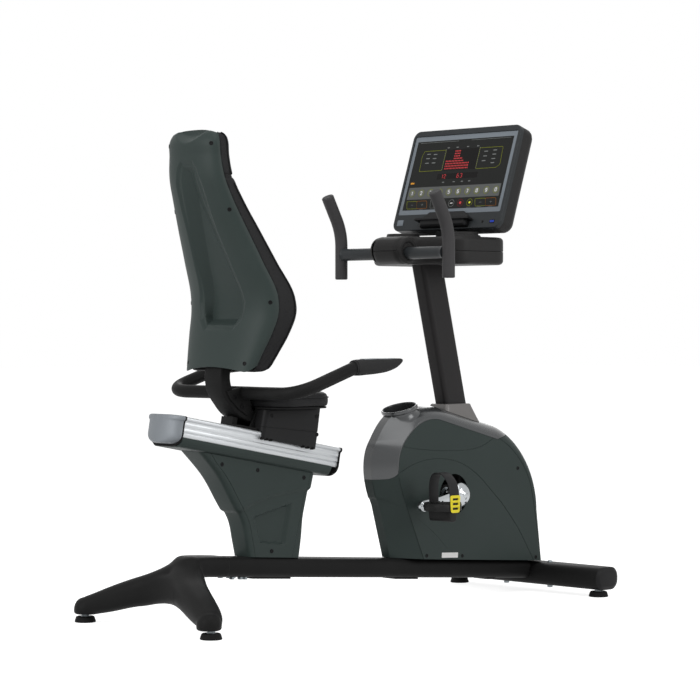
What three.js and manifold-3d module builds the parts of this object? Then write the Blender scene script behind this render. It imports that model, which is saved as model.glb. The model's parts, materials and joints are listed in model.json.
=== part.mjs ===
// Recumbent exercise bike: a floor frame, a seat on an inclined rail, a drive housing with cranks,
// and a console on a mast. Millimetres, +X the way the rider faces, +Y the rider's left, +Z up.
// Pieces are drawn about a point on the floor near the middle; the last lines centre the bike.
import * as THREE from 'three';
import { mergeVertices } from 'three/addons/utils/BufferGeometryUtils.js';
import Module from 'manifold-3d';

const wasm = await Module();
wasm.setup();

// ---- Driving dimensions --------------------------------------------------------------------
const GAP = 0.3; // between pieces that touch
const RUNNING_GAP = 0.6; // between pieces that move past each other
const COVER_WALL = 3;

const BEAM_WIDTH = 92;
const BEAM_HEIGHT = 55;
const BEAM_CORNER = 20;
const BEAM_WALL = 4;
const BEAM_SLOPE = 4.1; // degrees, falling towards the front
const BEAM_TOP = 146; // height of its top face above the origin
const BEAM_REAR = -590;

const STABILISER_X = 762;
const STABILISER_LENGTH = 98; // front stabiliser, along X
const STABILISER_HEIGHT = 68;
const STABILISER_WIDTH = 640;
const STABILISER_LIFT = 55; // height of its centre line
const STABILISER_WALL = 3;
const STABILISER_CORNER = 30;
const BEAM_LIP = 40; // the beam's coped end stops this far behind the stabiliser's centre line
const PLUG_DEPTH = 14;
const END_CAP = 6;

const FOOT_RADIUS = 29;
const FOOT_HEIGHT = 18;
const STUD_RADIUS = 6;
const STUD_REACH = 26;
const NUT_RADIUS = 11;
const FOOT_PAD = 42; // height of the rear casting over its feet
const SPIGOT = 60; // of the rear casting, inside the beam
const WEB_PLAN = [[-640, -30], [-640, 30], [-692, 88], [-700, 0], [-692, -88]];
const WEB_BOTTOM = 84;
const WEB_TOP = 118;
const FRONT_FOOT = [STABILISER_X - 8, STABILISER_WIDTH / 2 - 32];
const REAR_FOOT = [-750, 265];
const TIP_RADIUS = 36; // pads of the rear stabiliser over the feet

const RAIL_SLOPE = 10.3;
const RAIL_REAR = [-667, 570]; // X and Z of the top rear edge
const RAIL_LENGTH = 573;
const RAIL_HALF = 66;
const RAIL_HEIGHT = 56;
const RAIL_BEAD = 6;
const RAIL_WALL = 4;
const TROUGH_HALF = 30;
const TROUGH_DEPTH = 14;
const CHANNEL_HEIGHT = 27;
const RAIL_SEAL = 6;
const RAIL_CAP = 30; // how far the rear cap bulges behind its seal
const CAP_DROP = 20; // of the rear cap's middle below the rail
const PEDESTAL_CORNER = 18;
const PEDESTAL_WEB = 48;
const WEB_REAR = 112; // along the rail, where the pedestal frame meets it
const WEB_FRONT = 466;
const WEB_FOOT = [-383, -264]; // X of the pedestal frame at the beam
const FLANGE = 6;

const CARRIAGE_REAR = 200; // along the rail from its rear end
const CARRIAGE_FRONT = 486;
const CARRIAGE_TOP = 583;
const CARRIAGE_COVER_HALF = 80;

const SADDLE = 8;
const HEEL = [18, 24, 30]; // length, half-width and height over the rail of the saddle's rear stop
const UPRIGHT_REAR = -420;
const UPRIGHT_FRONT = -212;
const UPRIGHT = 6;
const UPRIGHT_OUTER = 41.3;
const COVER_SKIRT = 19; // how far the cover hangs below the rail's top
const PAN = 5;

const LEVER_AXIS = [-300, 548];
const LEVER_PIN = 5;
const LEVER_LENGTH = 145;
const LEVER_THICKNESS = 8;
const LEVER_KNOB = 34;

const CUSHION_WIDTH = 300;
const CUSHION_REAR = -402;
const CUSHION_FRONT = -188;
const CUSHION_HEIGHT = 42;
const CUSHION_CORNER = 62;

const ARM_WIDTH = 70;
const ARM_DEPTH = 36;
const GUSSET = 5;
const GUSSET_SCREWS = [[-472, 617], [-445, 590]];
const ARM_PATH = [[-385, 558], [-446, 578], [-507, 648], [-481, 777]]; // X and Z of its middle
const ARM_BEND = 95;
const ARM_RELIEF = 12; // cut into the cushion's foot, in front of the arm
const RECESS_Z = [796, 1255];
const RECESS_HALF = [76, 34];
const RECESS_DEPTH = 22;
const HEAD_SEAM = 1215;
const BOARD = 5;
const BOARD_FOOT = 758;
const SHELL_ARCH = [110, 15]; // half-width and rise of the arch in the shell's lower edge
const SEAT_TUBE = 18; // radius
const SEAT_BAR = [-430, 628]; // X and Z of the bar at the arm
const SEAT_BAR_CORNER = [-455, 273]; // X and |Y| of its rear corners
const SEAT_BAR_HALF = 268; // |Y| where the grips start
const SEAT_BENDS = [60, 95, 600, 95, 60];
const TUBE_SHARE = 0.4; // of the grip's length that the tube fills
const GRIP_START = [-238, 697];
const GRIP_END = [-76, 705];

const HOUSING_HALF = 68;
const HOUSING_LIFT = 4; // above the beam
const NOSE_HALF = 16; // half-width of the housing's flat rear nose
const FAIRING_LAP = 4; // the fairing's edge on the side face, inside the housing's edge
const FAIRING_Z = 366; // lower edge of the fairing at the nose
const FAIRING_END = 545;
const BOTTLE_CUP = [194, 0, 576]; // middle of its rim
const BOTTLE_TILT = 16.4;
const BOTTLE_RADIUS = 43;
const BOTTLE_DEPTH = 78;
const BOOT_TOP = [415, 578];

const CRANK_AXIS = [360, 314];
const CRANK_LENGTH = 165;
const CRANK_ANGLE = 8.7; // the right crank points to the rear, this far below level
const CRANK_INNER = 92; // |Y| of the crank arms' inner face
const CRANK_THICKNESS = 18;
const HUB_RADIUS = 36;
const CRANK_WINDOW = 60;
const SPINDLE_RADIUS = 12.5;
const SPINDLE_HALF = 86;
const HUB_INNER = 62;
const AXLE_RADIUS = 6;
const BEARING_RADIUS = 20;
const BRACKET_HALF = 34; // half-length of the bottom bracket shell
const PULLEY_RADIUS = 108;
const PULLEY_Y = [40, 56];
const BELT_THICKNESS = 3;
const BELT_CLEAR = 2;
const FLYWHEEL_AXIS = [592, 236];
const FLYWHEEL_RADIUS = 92;
const FLYWHEEL_Y = [-60, -36];
const DRIVEN_RADIUS = 24;
const SHAFT_RADIUS = 10;
const BRAKE_Z = 332;
const PLATE = 8;
const PLATE_ENDS = [225, 672];

const PEDAL_Y = 174; // |Y| of the pedal's middle
const PEDAL_WIDTH = 92;
const PEDAL_LENGTH = 104;
const PEDAL_HEIGHT = 22;
const KEEL_LENGTH = 28;
const KEEL_HEIGHT = 54;
const STRAP = 3;
const STRAP_WIDTH = 38;
const STRAP_RISE = 74;

const MAST_LENGTH = 84; // along X
const MAST_WIDTH = 54;
const MAST_CORNER = 14;
const MAST_WALL = 3;
const MAST_FOOT = [531, 108]; // X and Z of its lower end, on its centre line
const MAST_TOP = [303, 1042];

const TUBE_RADIUS = 16; // console handlebar
const BAR_X = 176;
const BAR_Z = 1019;
const BAR_HALF = 222;
const HANDLE_BOTTOM = 948;
const HANDLE_BEND = 1090; // height where it leans back
const HANDLE_TIP = [120, 1193];

const POD_BOTTOM = 989;
const POD_SEAM = 1028;
const POD_TOP = 1070;
const POD_REAR = 142;
const POD_FRONT = 470;
const POD_HALF = 188;
const SNOUT_HALF = 60;
const CUP_X = 335;
const CUP_Y = 120;
const CUP_RADIUS = 42;
const CUP_RIM = 14;

const CONSOLE_TILT = 18.4;
const CONSOLE_BASE = [386, 1097]; // X and Z of the bezel's lower front edge
const CONSOLE_HALF = 222;
const CONSOLE_HEIGHT = 323;
const CONSOLE_DEPTH = 60;
const BEZEL_DEPTH = 15;
const GLASS_HALF = 211;
const GLASS_Z = [51, CONSOLE_HEIGHT - 19];
const CONSOLE_CORNER = 26;
const REST_HALF = 112;
const NECK_X = [396, 434];
const NECK_HALF = 44;

// ---- Small geometry tools ------------------------------------------------------------------
const rad = THREE.MathUtils.degToRad;
const v2 = (x, y) => new THREE.Vector2(x, y);
const v3 = (x, y, z) => new THREE.Vector3(x, y, z);
const mix = THREE.MathUtils.lerp;

// Merges shared vertices and drops slivers, so that the surface is closed.
function welded(geometry) {
  geometry.deleteAttribute('normal');
  geometry.deleteAttribute('uv');
  const merged = mergeVertices(geometry, 1e-4);
  const faces = [];
  for (let i = 0; i < merged.index.count; i += 3) {
    const [a, b, c] = [0, 1, 2].map((k) => merged.index.getX(i + k));
    if (a !== b && b !== c && c !== a) faces.push(a, b, c);
  }
  merged.setIndex(faces);
  return merged;
}

function toSolid(geometry) {
  const { attributes, index } = welded(geometry);
  const vertProperties = new Float32Array(attributes.position.array);
  const triVerts = new Uint32Array(index.array);
  return new wasm.Manifold(new wasm.Mesh({ numProp: 3, vertProperties, triVerts }));
}

function toGeometry(solid) {
  const { vertProperties, triVerts } = solid.getMesh();
  const geometry = new THREE.BufferGeometry();
  geometry.setAttribute('position', new THREE.BufferAttribute(vertProperties, 3));
  geometry.setIndex(new THREE.BufferAttribute(triVerts, 1));
  return geometry;
}

const join = (...parts) => toGeometry(parts.map(toSolid).reduce((a, b) => a.add(b)));
const cut = (body, ...tools) =>
  toGeometry(tools.map(toSolid).reduce((a, b) => a.subtract(b), toSolid(body)));
const common = (a, b) => toGeometry(toSolid(a).intersect(toSolid(b)));

// The mirror image across the middle plane, Y = 0.
function mirrored(geometry) {
  const copy = geometry.clone().applyMatrix4(new THREE.Matrix4().makeScale(1, -1, 1));
  if (!copy.index) copy.setIndex([...Array(copy.attributes.position.count).keys()]);
  const { index } = copy;
  for (let i = 0; i < index.count; i += 3) {
    const first = index.getX(i);
    index.setX(i, index.getX(i + 1));
    index.setX(i + 1, first);
  }
  return copy;
}

const outline = (points) => new THREE.Shape(points.map(([x, y]) => v2(x, y)));

function roundedShape(width, height, corner, x = 0, y = 0) {
  const [w, h] = [width / 2, height / 2];
  const shape = new THREE.Shape();
  shape.absarc(x + w - corner, y - h + corner, corner, -Math.PI / 2, 0);
  shape.absarc(x + w - corner, y + h - corner, corner, 0, Math.PI / 2);
  shape.absarc(x - w + corner, y + h - corner, corner, Math.PI / 2, Math.PI);
  shape.absarc(x - w + corner, y - h + corner, corner, Math.PI, Math.PI * 1.5);
  return shape;
}

function extruded(shape, depth, segments = 2) {
  return new THREE.ExtrudeGeometry(shape, { depth, bevelEnabled: false, curveSegments: segments });
}

// A shape drawn in X and Z, given thickness from y0 to y1.
function sidePlate(shape, y0, y1, segments) {
  return extruded(shape, y1 - y0, segments).rotateX(Math.PI / 2).translate(0, y1, 0);
}

// A shape drawn in Y and Z, given length from x0 to x1.
function crossPlate(shape, x0, x1, segments) {
  const axes = new THREE.Matrix4().makeBasis(v3(0, 1, 0), v3(0, 0, 1), v3(1, 0, 0));
  return extruded(shape, x1 - x0, segments).applyMatrix4(axes).translate(x0, 0, 0);
}

// A shape drawn in X and Y, given height from z0 to z1.
function flatPlate(shape, z0, z1, segments) {
  return extruded(shape, z1 - z0, segments).translate(0, 0, z0);
}

function block([x0, x1], [y0, y1], [z0, z1]) {
  const box = new THREE.BoxGeometry(x1 - x0, y1 - y0, z1 - z0);
  return box.translate((x0 + x1) / 2, (y0 + y1) / 2, (z0 + z1) / 2);
}

// A profile of [radius, height] points turned about the Z axis.
function turned(profile, segments = 20) {
  const points = profile.map(([r, h]) => v2(r, h));
  return new THREE.LatheGeometry(points, segments).rotateX(Math.PI / 2);
}

// The same, turned about a line along Y through (x, z); heights run along +Y.
function turnedAcross(profile, [x, z], segments = 20) {
  return turned(profile, segments).rotateX(-Math.PI / 2).translate(x, 0, z);
}

const disc = (r, y0, y1) => [[0, y0], [r, y0], [r, y1], [0, y1]];
const ring = (r, R, y0, y1) => [[r, y0], [R, y0], [R, y1], [r, y1], [r, y0]];

// A closed skin over rings of equally many points, with flat ends.
function loft(rings) {
  const count = rings[0].length;
  const faces = [];
  for (let r = 0; r + 1 < rings.length; r += 1) {
    for (let i = 0; i < count; i += 1) {
      const [a, b] = [r * count + i, r * count + ((i + 1) % count)];
      faces.push(a, b, b + count, a, b + count, a + count);
    }
  }
  for (const r of [0, rings.length - 1]) {
    const flat = flattened(rings[r]);
    const turn = Math.sign(THREE.ShapeUtils.area(flat)) * (r === 0 ? -1 : 1);
    for (const [a, b, c] of THREE.ShapeUtils.triangulateShape(flat, [])) {
      const facing = Math.sign(THREE.ShapeUtils.area([flat[a], flat[b], flat[c]]));
      const [p, q] = facing === turn ? [b, c] : [c, b];
      faces.push(r * count + a, r * count + p, r * count + q);
    }
  }
  const points = rings.flat();
  if (signedVolume(points, faces) < 0) faces.reverse();
  const geometry = new THREE.BufferGeometry().setFromPoints(points);
  geometry.setIndex(faces);
  return geometry;
}

function signedVolume(points, faces) {
  let sum = 0;
  for (let i = 0; i < faces.length; i += 3) {
    const [a, b, c] = [0, 1, 2].map((k) => points[faces[i + k]]);
    sum += a.dot(b.clone().cross(c));
  }
  return sum;
}

// A ring seen along the axis it faces most, as plane points.
function flattened(points) {
  const normal = v3(0, 0, 0);
  points.forEach((p, i) => normal.add(p.clone().cross(points[(i + 1) % points.length])));
  const size = normal.toArray().map(Math.abs);
  const drop = size.indexOf(Math.max(...size));
  return points.map((p) => v2(...p.toArray().filter((_, k) => k !== drop)));
}

// A rounded rectangle as a list of plane points, with the same count whatever its size.
function roundedPoints(width, height, corner, perCorner = 3) {
  const points = [];
  [[1, -1], [1, 1], [-1, 1], [-1, -1]].forEach(([sx, sy], k) => {
    for (let i = 0; i <= perCorner; i += 1) {
      const angle = (Math.PI / 2) * (k - 1 + i / perCorner);
      points.push([
        sx * (width / 2 - corner) + corner * Math.cos(angle),
        sy * (height / 2 - corner) + corner * Math.sin(angle),
      ]);
    }
  });
  return points;
}

const circlePoints = (radius, count = 14) => Array.from({ length: count }, (_, i) => {
  const angle = (i / count) * Math.PI * 2;
  return [radius * Math.cos(angle), radius * Math.sin(angle)];
});

// Corner points joined by straight runs and round bends.
const BEND_STEPS = 5;
function bentPath(corners, bends, steps = BEND_STEPS) {
  const path = [corners[0]];
  for (let i = 1; i + 1 < corners.length; i += 1) {
    const before = corners[i - 1].clone().sub(corners[i]).normalize();
    const after = corners[i + 1].clone().sub(corners[i]).normalize();
    const half = before.angleTo(after) / 2;
    const reach = bends[i - 1] / Math.tan(half);
    const centre = before.clone().add(after).normalize();
    centre.multiplyScalar(bends[i - 1] / Math.sin(half));
    centre.add(corners[i]);
    const from = corners[i].clone().addScaledVector(before, reach).sub(centre);
    const to = corners[i].clone().addScaledVector(after, reach).sub(centre);
    const sweepAngle = Math.PI - 2 * half;
    for (let k = 0; k <= steps; k += 1) {
      const t = k / steps;
      const a = Math.sin((1 - t) * sweepAngle) / Math.sin(sweepAngle);
      const b = Math.sin(t * sweepAngle) / Math.sin(sweepAngle);
      path.push(centre.clone().addScaledVector(from, a).addScaledVector(to, b));
    }
  }
  path.push(corners.at(-1));
  return path;
}

// A section carried along a path. Its first axis stays across the given up direction.
function swept(section, path, up) {
  return loft(path.map((at, i) => {
    const before = at.clone().sub(path[i - 1] ?? at).normalize();
    const after = (path[i + 1] ?? at).clone().sub(at).normalize();
    const along = before.add(after).normalize();
    const u = up.clone().cross(along).normalize();
    const v = along.clone().cross(u);
    return section.map(([x, y]) => at.clone().addScaledVector(u, x).addScaledVector(v, y));
  }));
}

// ---- Working frames ------------------------------------------------------------------------
function frame([x, z], slope) {
  const group = new THREE.Group();
  group.position.set(x, 0, z);
  group.rotation.y = rad(slope);
  group.updateMatrix();
  return group;
}

const bike = new THREE.Group();
const beamFrame = frame([0, BEAM_TOP], BEAM_SLOPE);
const railFrame = frame(RAIL_REAR, RAIL_SLOPE);
const consoleFrame = frame(CONSOLE_BASE, CONSOLE_TILT);
bike.add(beamFrame, railFrame, consoleFrame);

const beamTopAt = (x) => BEAM_TOP - x * Math.tan(rad(BEAM_SLOPE));
const railTopAt = (x) => RAIL_REAR[1] - (x - RAIL_REAR[0]) * Math.tan(rad(RAIL_SLOPE));

// ---- Materials -----------------------------------------------------------------------------
const material = (color, roughness, metalness) =>
  new THREE.MeshStandardMaterial({ color, roughness, metalness });
const LOOKS = {
  frame: material('#26282a', 0.45, 0.3),
  cover: material('#2f3a37', 0.5, 0),
  fairing: material('#5f6163', 0.2, 0.3),
  aluminium: material('#c9ccd0', 0.35, 1),
  cap: material('#74787e', 0.35, 0.4),
  upholstery: material('#1d1e20', 0.8, 0),
  plastic: material('#232427', 0.5, 0),
  rubber: material('#151515', 0.9, 0),
  chrome: material('#d5d7da', 0.1, 1),
  steel: material('#8b8e91', 0.4, 1),
  buckle: material('#d8cf3a', 0.4, 0),
  glass: material('#30343a', 0.1, 0),
};

function piece(parent, name, look, geometry) {
  const mesh = new THREE.Mesh(welded(geometry), LOOKS[look].clone());
  mesh.name = name;
  parent.add(mesh);
}

const SIDES = [['left', 1], ['right', -1]];

// A right-hand geometry (Y below 0) and its mirror image, as two pieces.
function pair(parent, name, look, right) {
  piece(parent, `${name}_right`, look, right.clone());
  piece(parent, `${name}_left`, look, mirrored(right));
}

// ---- Floor frame ---------------------------------------------------------------------------
function tubeShape(width, height, corner, wall, x = 0, y = 0) {
  const shape = roundedShape(width, height, corner, x, y);
  shape.holes.push(roundedShape(width - 2 * wall, height - 2 * wall, corner - wall, x, y));
  return shape;
}

const stabiliserShape = (grow) =>
  roundedShape(
    STABILISER_LENGTH + 2 * grow,
    STABILISER_HEIGHT + 2 * grow,
    STABILISER_CORNER + grow,
    STABILISER_X,
    STABILISER_LIFT,
  );
const FOOT_SEAT = STABILISER_LIFT - STABILISER_HEIGHT / 2; // underside that the feet screw into
const CAP_INNER = STABILISER_WIDTH / 2 - END_CAP;

const studHole = ([x, y]) =>
  turned(disc(STUD_RADIUS + GAP, FOOT_SEAT - 10, FOOT_SEAT + STUD_REACH + 2), 12).translate(x, y, 0);

function mainBeam() {
  const shape = tubeShape(BEAM_WIDTH, BEAM_HEIGHT, BEAM_CORNER, BEAM_WALL, 0, -BEAM_HEIGHT / 2);
  const tube = crossPlate(shape, BEAM_REAR, STABILISER_X - BEAM_LIP);
  const cope = sidePlate(stabiliserShape(GAP), -BEAM_WIDTH, BEAM_WIDTH, 3);
  return cut(tube, cope.applyMatrix4(beamFrame.matrix.clone().invert()));
}

function frontStabiliser() {
  const shape = stabiliserShape(0);
  shape.holes.push(stabiliserShape(-STABILISER_WALL));
  const holes = SIDES.map(([, side]) => studHole([FRONT_FOOT[0], side * FRONT_FOOT[1]]));
  return cut(sidePlate(shape, -CAP_INNER, CAP_INNER, 3), ...holes);
}

function frontEndCap() {
  const flange = sidePlate(stabiliserShape(0), -CAP_INNER - END_CAP, -CAP_INNER - GAP, 3);
  const plug = stabiliserShape(-STABILISER_WALL - GAP);
  return join(flange, sidePlate(plug, -CAP_INNER - END_CAP / 2, -CAP_INNER + PLUG_DEPTH, 3));
}

function levellingFoot([x, y]) {
  const nut = FOOT_SEAT - RUNNING_GAP;
  const profile = [
    [0, 0], [FOOT_RADIUS, 0], [FOOT_RADIUS, 4], [NUT_RADIUS + 8, FOOT_HEIGHT - 5],
    [NUT_RADIUS, FOOT_HEIGHT - 5], [NUT_RADIUS, nut], [STUD_RADIUS, nut],
    [STUD_RADIUS, FOOT_SEAT + STUD_REACH], [0, FOOT_SEAT + STUD_REACH],
  ];
  return turned(profile, 14).translate(x, y, 0);
}

// One arm of the rear casting: from the beam's end, out and down to the pad over its foot.
function stabiliserArm() {
  const slope = rad(BEAM_SLOPE);
  const seam = v3(BEAM_REAR, 0, -BEAM_HEIGHT / 2).applyMatrix4(beamFrame.matrix);
  seam.addScaledVector(v3(Math.cos(slope), 0, -Math.sin(slope)), -GAP);
  const [footX, footY] = REAR_FOOT;
  // centre X, Y and Z, heading away from +X in degrees, width, height and corner
  const stations = [
    [seam.x, 0, seam.z, 0, BEAM_WIDTH, BEAM_HEIGHT, BEAM_CORNER],
    [-622, -4, 148, 4, 98, 76, 26],
    [-652, -40, 128, 38, 84, 88, 26],
    [-686, -98, 104, 60, 70, 82, 24],
    [-716, -165, 78, 68, 62, 66, 22],
    [footX + 12, -footY + 40, 52, 74, 62, 54, 20],
    [footX + 2, -footY + 6, 45, 78, 66, FOOT_PAD, 18],
  ];
  const rings = stations.map(([x, y, z, heading, width, height, corner], k) => {
    const angle = rad(heading);
    const across = v3(Math.sin(angle), -Math.cos(angle), 0).negate();
    const upward = k === 0 ? v3(Math.sin(slope), 0, Math.cos(slope)) : v3(0, 0, 1);
    return roundedPoints(width, height, corner, 3).map(([u, v]) =>
      v3(x, y, z).addScaledVector(across, u).addScaledVector(upward, v));
  });
  const pad = turned([
    [0, FOOT_SEAT], [TIP_RADIUS - 5, FOOT_SEAT], [TIP_RADIUS, FOOT_SEAT + 6],
    [TIP_RADIUS, FOOT_SEAT + FOOT_PAD - 12], [TIP_RADIUS - 12, FOOT_SEAT + FOOT_PAD],
    [0, FOOT_SEAT + FOOT_PAD + 2],
  ], 16).translate(footX, -footY, 0);
  return join(loft(rings), pad);
}

function rearStabiliser() {
  const arm = stabiliserArm();
  const wall = BEAM_WALL + GAP;
  const spigot = crossPlate(
    roundedShape(
      BEAM_WIDTH - 2 * wall,
      BEAM_HEIGHT - 2 * wall,
      BEAM_CORNER - wall,
      0,
      -BEAM_HEIGHT / 2,
    ),
    BEAM_REAR - 20,
    BEAM_REAR + SPIGOT,
  ).applyMatrix4(beamFrame.matrix);
  const web = flatPlate(outline(WEB_PLAN), WEB_BOTTOM, WEB_TOP);
  const holes = SIDES.map(([, side]) => studHole([REAR_FOOT[0], side * REAR_FOOT[1]]));
  return cut(join(arm.clone(), mirrored(arm), spigot, web), ...holes);
}

piece(beamFrame, 'main_beam', 'frame', mainBeam());
piece(bike, 'rear_stabiliser', 'frame', rearStabiliser());
piece(bike, 'front_stabiliser', 'frame', frontStabiliser());
pair(bike, 'front_end_cap', 'plastic', frontEndCap());
for (const [name, [x, y]] of [['rear', REAR_FOOT], ['front', FRONT_FOOT]]) {
  pair(bike, `${name}_foot`, 'rubber', levellingFoot([x, -y]));
}

// ---- Seat rail and its pedestal ------------------------------------------------------------
const belowRail = (x, depth) => railTopAt(x) - depth / Math.cos(rad(RAIL_SLOPE));
const channelUnder = (x) => belowRail(x, RAIL_HEIGHT + CHANNEL_HEIGHT);
const railUnder = (x) => belowRail(x, RAIL_HEIGHT);

// The rail's outer section: a trough on top, a bead along each edge and grooved flanks.
function railShape() {
  const shape = new THREE.Shape();
  const edge = RAIL_HALF;
  const floor = -RAIL_HEIGHT;
  shape.moveTo(-TROUGH_HALF, -TROUGH_DEPTH);
  shape.lineTo(TROUGH_HALF, -TROUGH_DEPTH);
  shape.lineTo(TROUGH_HALF, 0);
  shape.absarc(edge, -RAIL_BEAD, RAIL_BEAD, Math.PI / 2, -Math.PI / 2, true);
  const side = [[edge - 1, -17], [edge, -20], [edge - 1, -28], [edge - 3, -30], [edge - 1, -32]];
  const lower = [[edge - 2, -41], [edge - 4, -43], [edge - 2, -45], [edge - 4, floor]];
  const right = [...side, ...lower];
  right.forEach(([y, z]) => shape.lineTo(y, z));
  right.reverse().forEach(([y, z]) => shape.lineTo(-y, z));
  shape.absarc(-edge, -RAIL_BEAD, RAIL_BEAD, -Math.PI / 2, Math.PI / 2, true);
  shape.lineTo(-TROUGH_HALF, 0);
  return shape;
}

// The extrusion, with its seat trough on top and two chambers inside.
function seatRail() {
  const [rib, inner] = [RAIL_WALL / 2, RAIL_HALF - 2 * RAIL_WALL];
  const height = [-RAIL_HEIGHT + RAIL_WALL, -TROUGH_DEPTH - RAIL_WALL];
  const chambers = [[rib, inner], [-inner, -rib]].map((width) =>
    block([-1, RAIL_LENGTH + 1], width, height));
  return cut(crossPlate(railShape(), 0, RAIL_LENGTH), ...chambers);
}

function railChannel() {
  const top = -RAIL_HEIGHT - GAP;
  const floor = -RAIL_HEIGHT - CHANNEL_HEIGHT;
  const side = RAIL_HALF - 2;
  const half = [
    [side, top], [side, top - 9], [side - 7, floor + 5], [side - 14, floor],
  ];
  const inner = [
    [side - 15, floor + COVER_WALL], [side - 9, floor + 7],
    [side - COVER_WALL, top - 8], [side - COVER_WALL, top],
  ];
  const flip = (points) => points.map(([y, z]) => [-y, z]).reverse();
  const section = outline([...half, ...flip(half), ...flip(inner), ...inner]);
  const body = crossPlate(section, 0, RAIL_LENGTH - 18);
  const lean = (RAIL_HEIGHT + CHANNEL_HEIGHT) * Math.tan(rad(RAIL_SLOPE));
  const window = block(
    [WEB_REAR - 4, WEB_FRONT + lean + 4],
    [-PEDESTAL_WEB / 2 - GAP, PEDESTAL_WEB / 2 + GAP],
    [floor - 5, top - 8],
  );
  return cut(body, window);
}

// Outline of the rail's ends: its beads, its flanks and the rounded channel below.
function endShape(grow, drop) {
  const [bead, side, floor] = [RAIL_HALF + RAIL_BEAD + grow, RAIL_HALF + grow, -RAIL_HEIGHT];
  const half = [
    [bead - 4, grow], [bead, -4], [bead, -2 * RAIL_BEAD + 2], [side, -2 * RAIL_BEAD - grow],
    [side, floor], [side - 10, floor - drop / 2], [side - 28, floor - drop],
  ];
  return outline([...half, ...half.map(([y, z]) => [-y, z]).reverse()]);
}

function railCapRear() {
  const plan = new THREE.Shape();
  const back = -RAIL_SEAL - GAP;
  plan.absellipse(back, 0, RAIL_CAP, RAIL_HALF + RAIL_BEAD, Math.PI / 2, Math.PI * 1.5);
  const bulge = flatPlate(plan, -RAIL_HEIGHT - CHANNEL_HEIGHT, 2, 12);
  return common(bulge, crossPlate(endShape(0, CAP_DROP), back - RAIL_CAP, back));
}

const railSeal = (x0, x1) => crossPlate(endShape(1, CHANNEL_HEIGHT), x0, x1);

// Half-width, rear X and front X of the pedestal at each height.
const PEDESTAL = [
  [150, 34, -396, -238], [221, 36, -416, -220], [274, 38, -441, -207], [333, 41, -479, -192],
  [404, 45, -528, -175], [470, 47, -594, -158], [530, 47, -660, -143],
];

function pedestalSkin(inset) {
  const rings = PEDESTAL.map(([z, half, rear, front]) => {
    const [x0, x1] = [rear + inset, front - inset];
    const corner = PEDESTAL_CORNER - inset;
    return roundedPoints(x1 - x0, 2 * (half - inset), corner).map(([x, y]) =>
      v3(x + (x0 + x1) / 2, y, z));
  });
  return loft(rings);
}

const [REAR_LIMIT, FRONT_LIMIT] = [-700, 0];

function pedestalCover() {
  const between = outline([
    [REAR_LIMIT, beamTopAt(REAR_LIMIT) + GAP], [FRONT_LIMIT, beamTopAt(FRONT_LIMIT) + GAP],
    [FRONT_LIMIT, channelUnder(FRONT_LIMIT) - GAP], [REAR_LIMIT, channelUnder(REAR_LIMIT) - GAP],
  ]);
  const half = sidePlate(between, -100, -GAP / 2);
  return cut(common(pedestalSkin(0), half), pedestalSkin(COVER_WALL));
}

// Welded pedestal: a boxed web with a window, a flange on the beam and one under the rail.
function pedestalFrame() {
  const [x0, x1] = WEB_FOOT;
  const rise = 300;
  const [t0, t1] = [WEB_REAR, WEB_FRONT].map((x) => RAIL_REAR[0] + x * Math.cos(rad(RAIL_SLOPE)));
  const web = outline([
    [x0, beamTopAt(x0) + 2], [x1, beamTopAt(x1) + 2], [x1 + 44, rise], [t1, 400],
    [t1, railUnder(t1) - 2], [t0, railUnder(t0) - 2], [-508, 412],
  ]);
  web.holes.push(outline([
    [x0 + 26, 205], [x1 - 22, 205], [x1 + 12, rise], [t1 - 30, 402], [-468, 415],
  ]));
  const body = sidePlate(web, -PEDESTAL_WEB / 2, PEDESTAL_WEB / 2);
  const foot = block([x0 - 8, x1 + 12], [-30, 30], [GAP, GAP + FLANGE]);
  const head = block(
    [WEB_REAR, WEB_FRONT],
    [-RAIL_HALF + 12, RAIL_HALF - 12],
    [-RAIL_HEIGHT - FLANGE - GAP, -RAIL_HEIGHT - GAP],
  );
  return join(body, foot.applyMatrix4(beamFrame.matrix), head.applyMatrix4(railFrame.matrix));
}

piece(bike, 'pedestal_frame', 'frame', pedestalFrame());
pair(bike, 'pedestal_cover', 'cover', pedestalCover());
piece(railFrame, 'rail_channel', 'cover', railChannel());
piece(railFrame, 'seat_rail', 'aluminium', seatRail());
piece(railFrame, 'rail_seal_rear', 'rubber', railSeal(-RAIL_SEAL, -GAP));
piece(railFrame, 'rail_cap_rear', 'cap', railCapRear());
piece(railFrame, 'rail_cap_front', 'rubber', railSeal(RAIL_LENGTH + GAP, RAIL_LENGTH + RAIL_SEAL));

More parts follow.
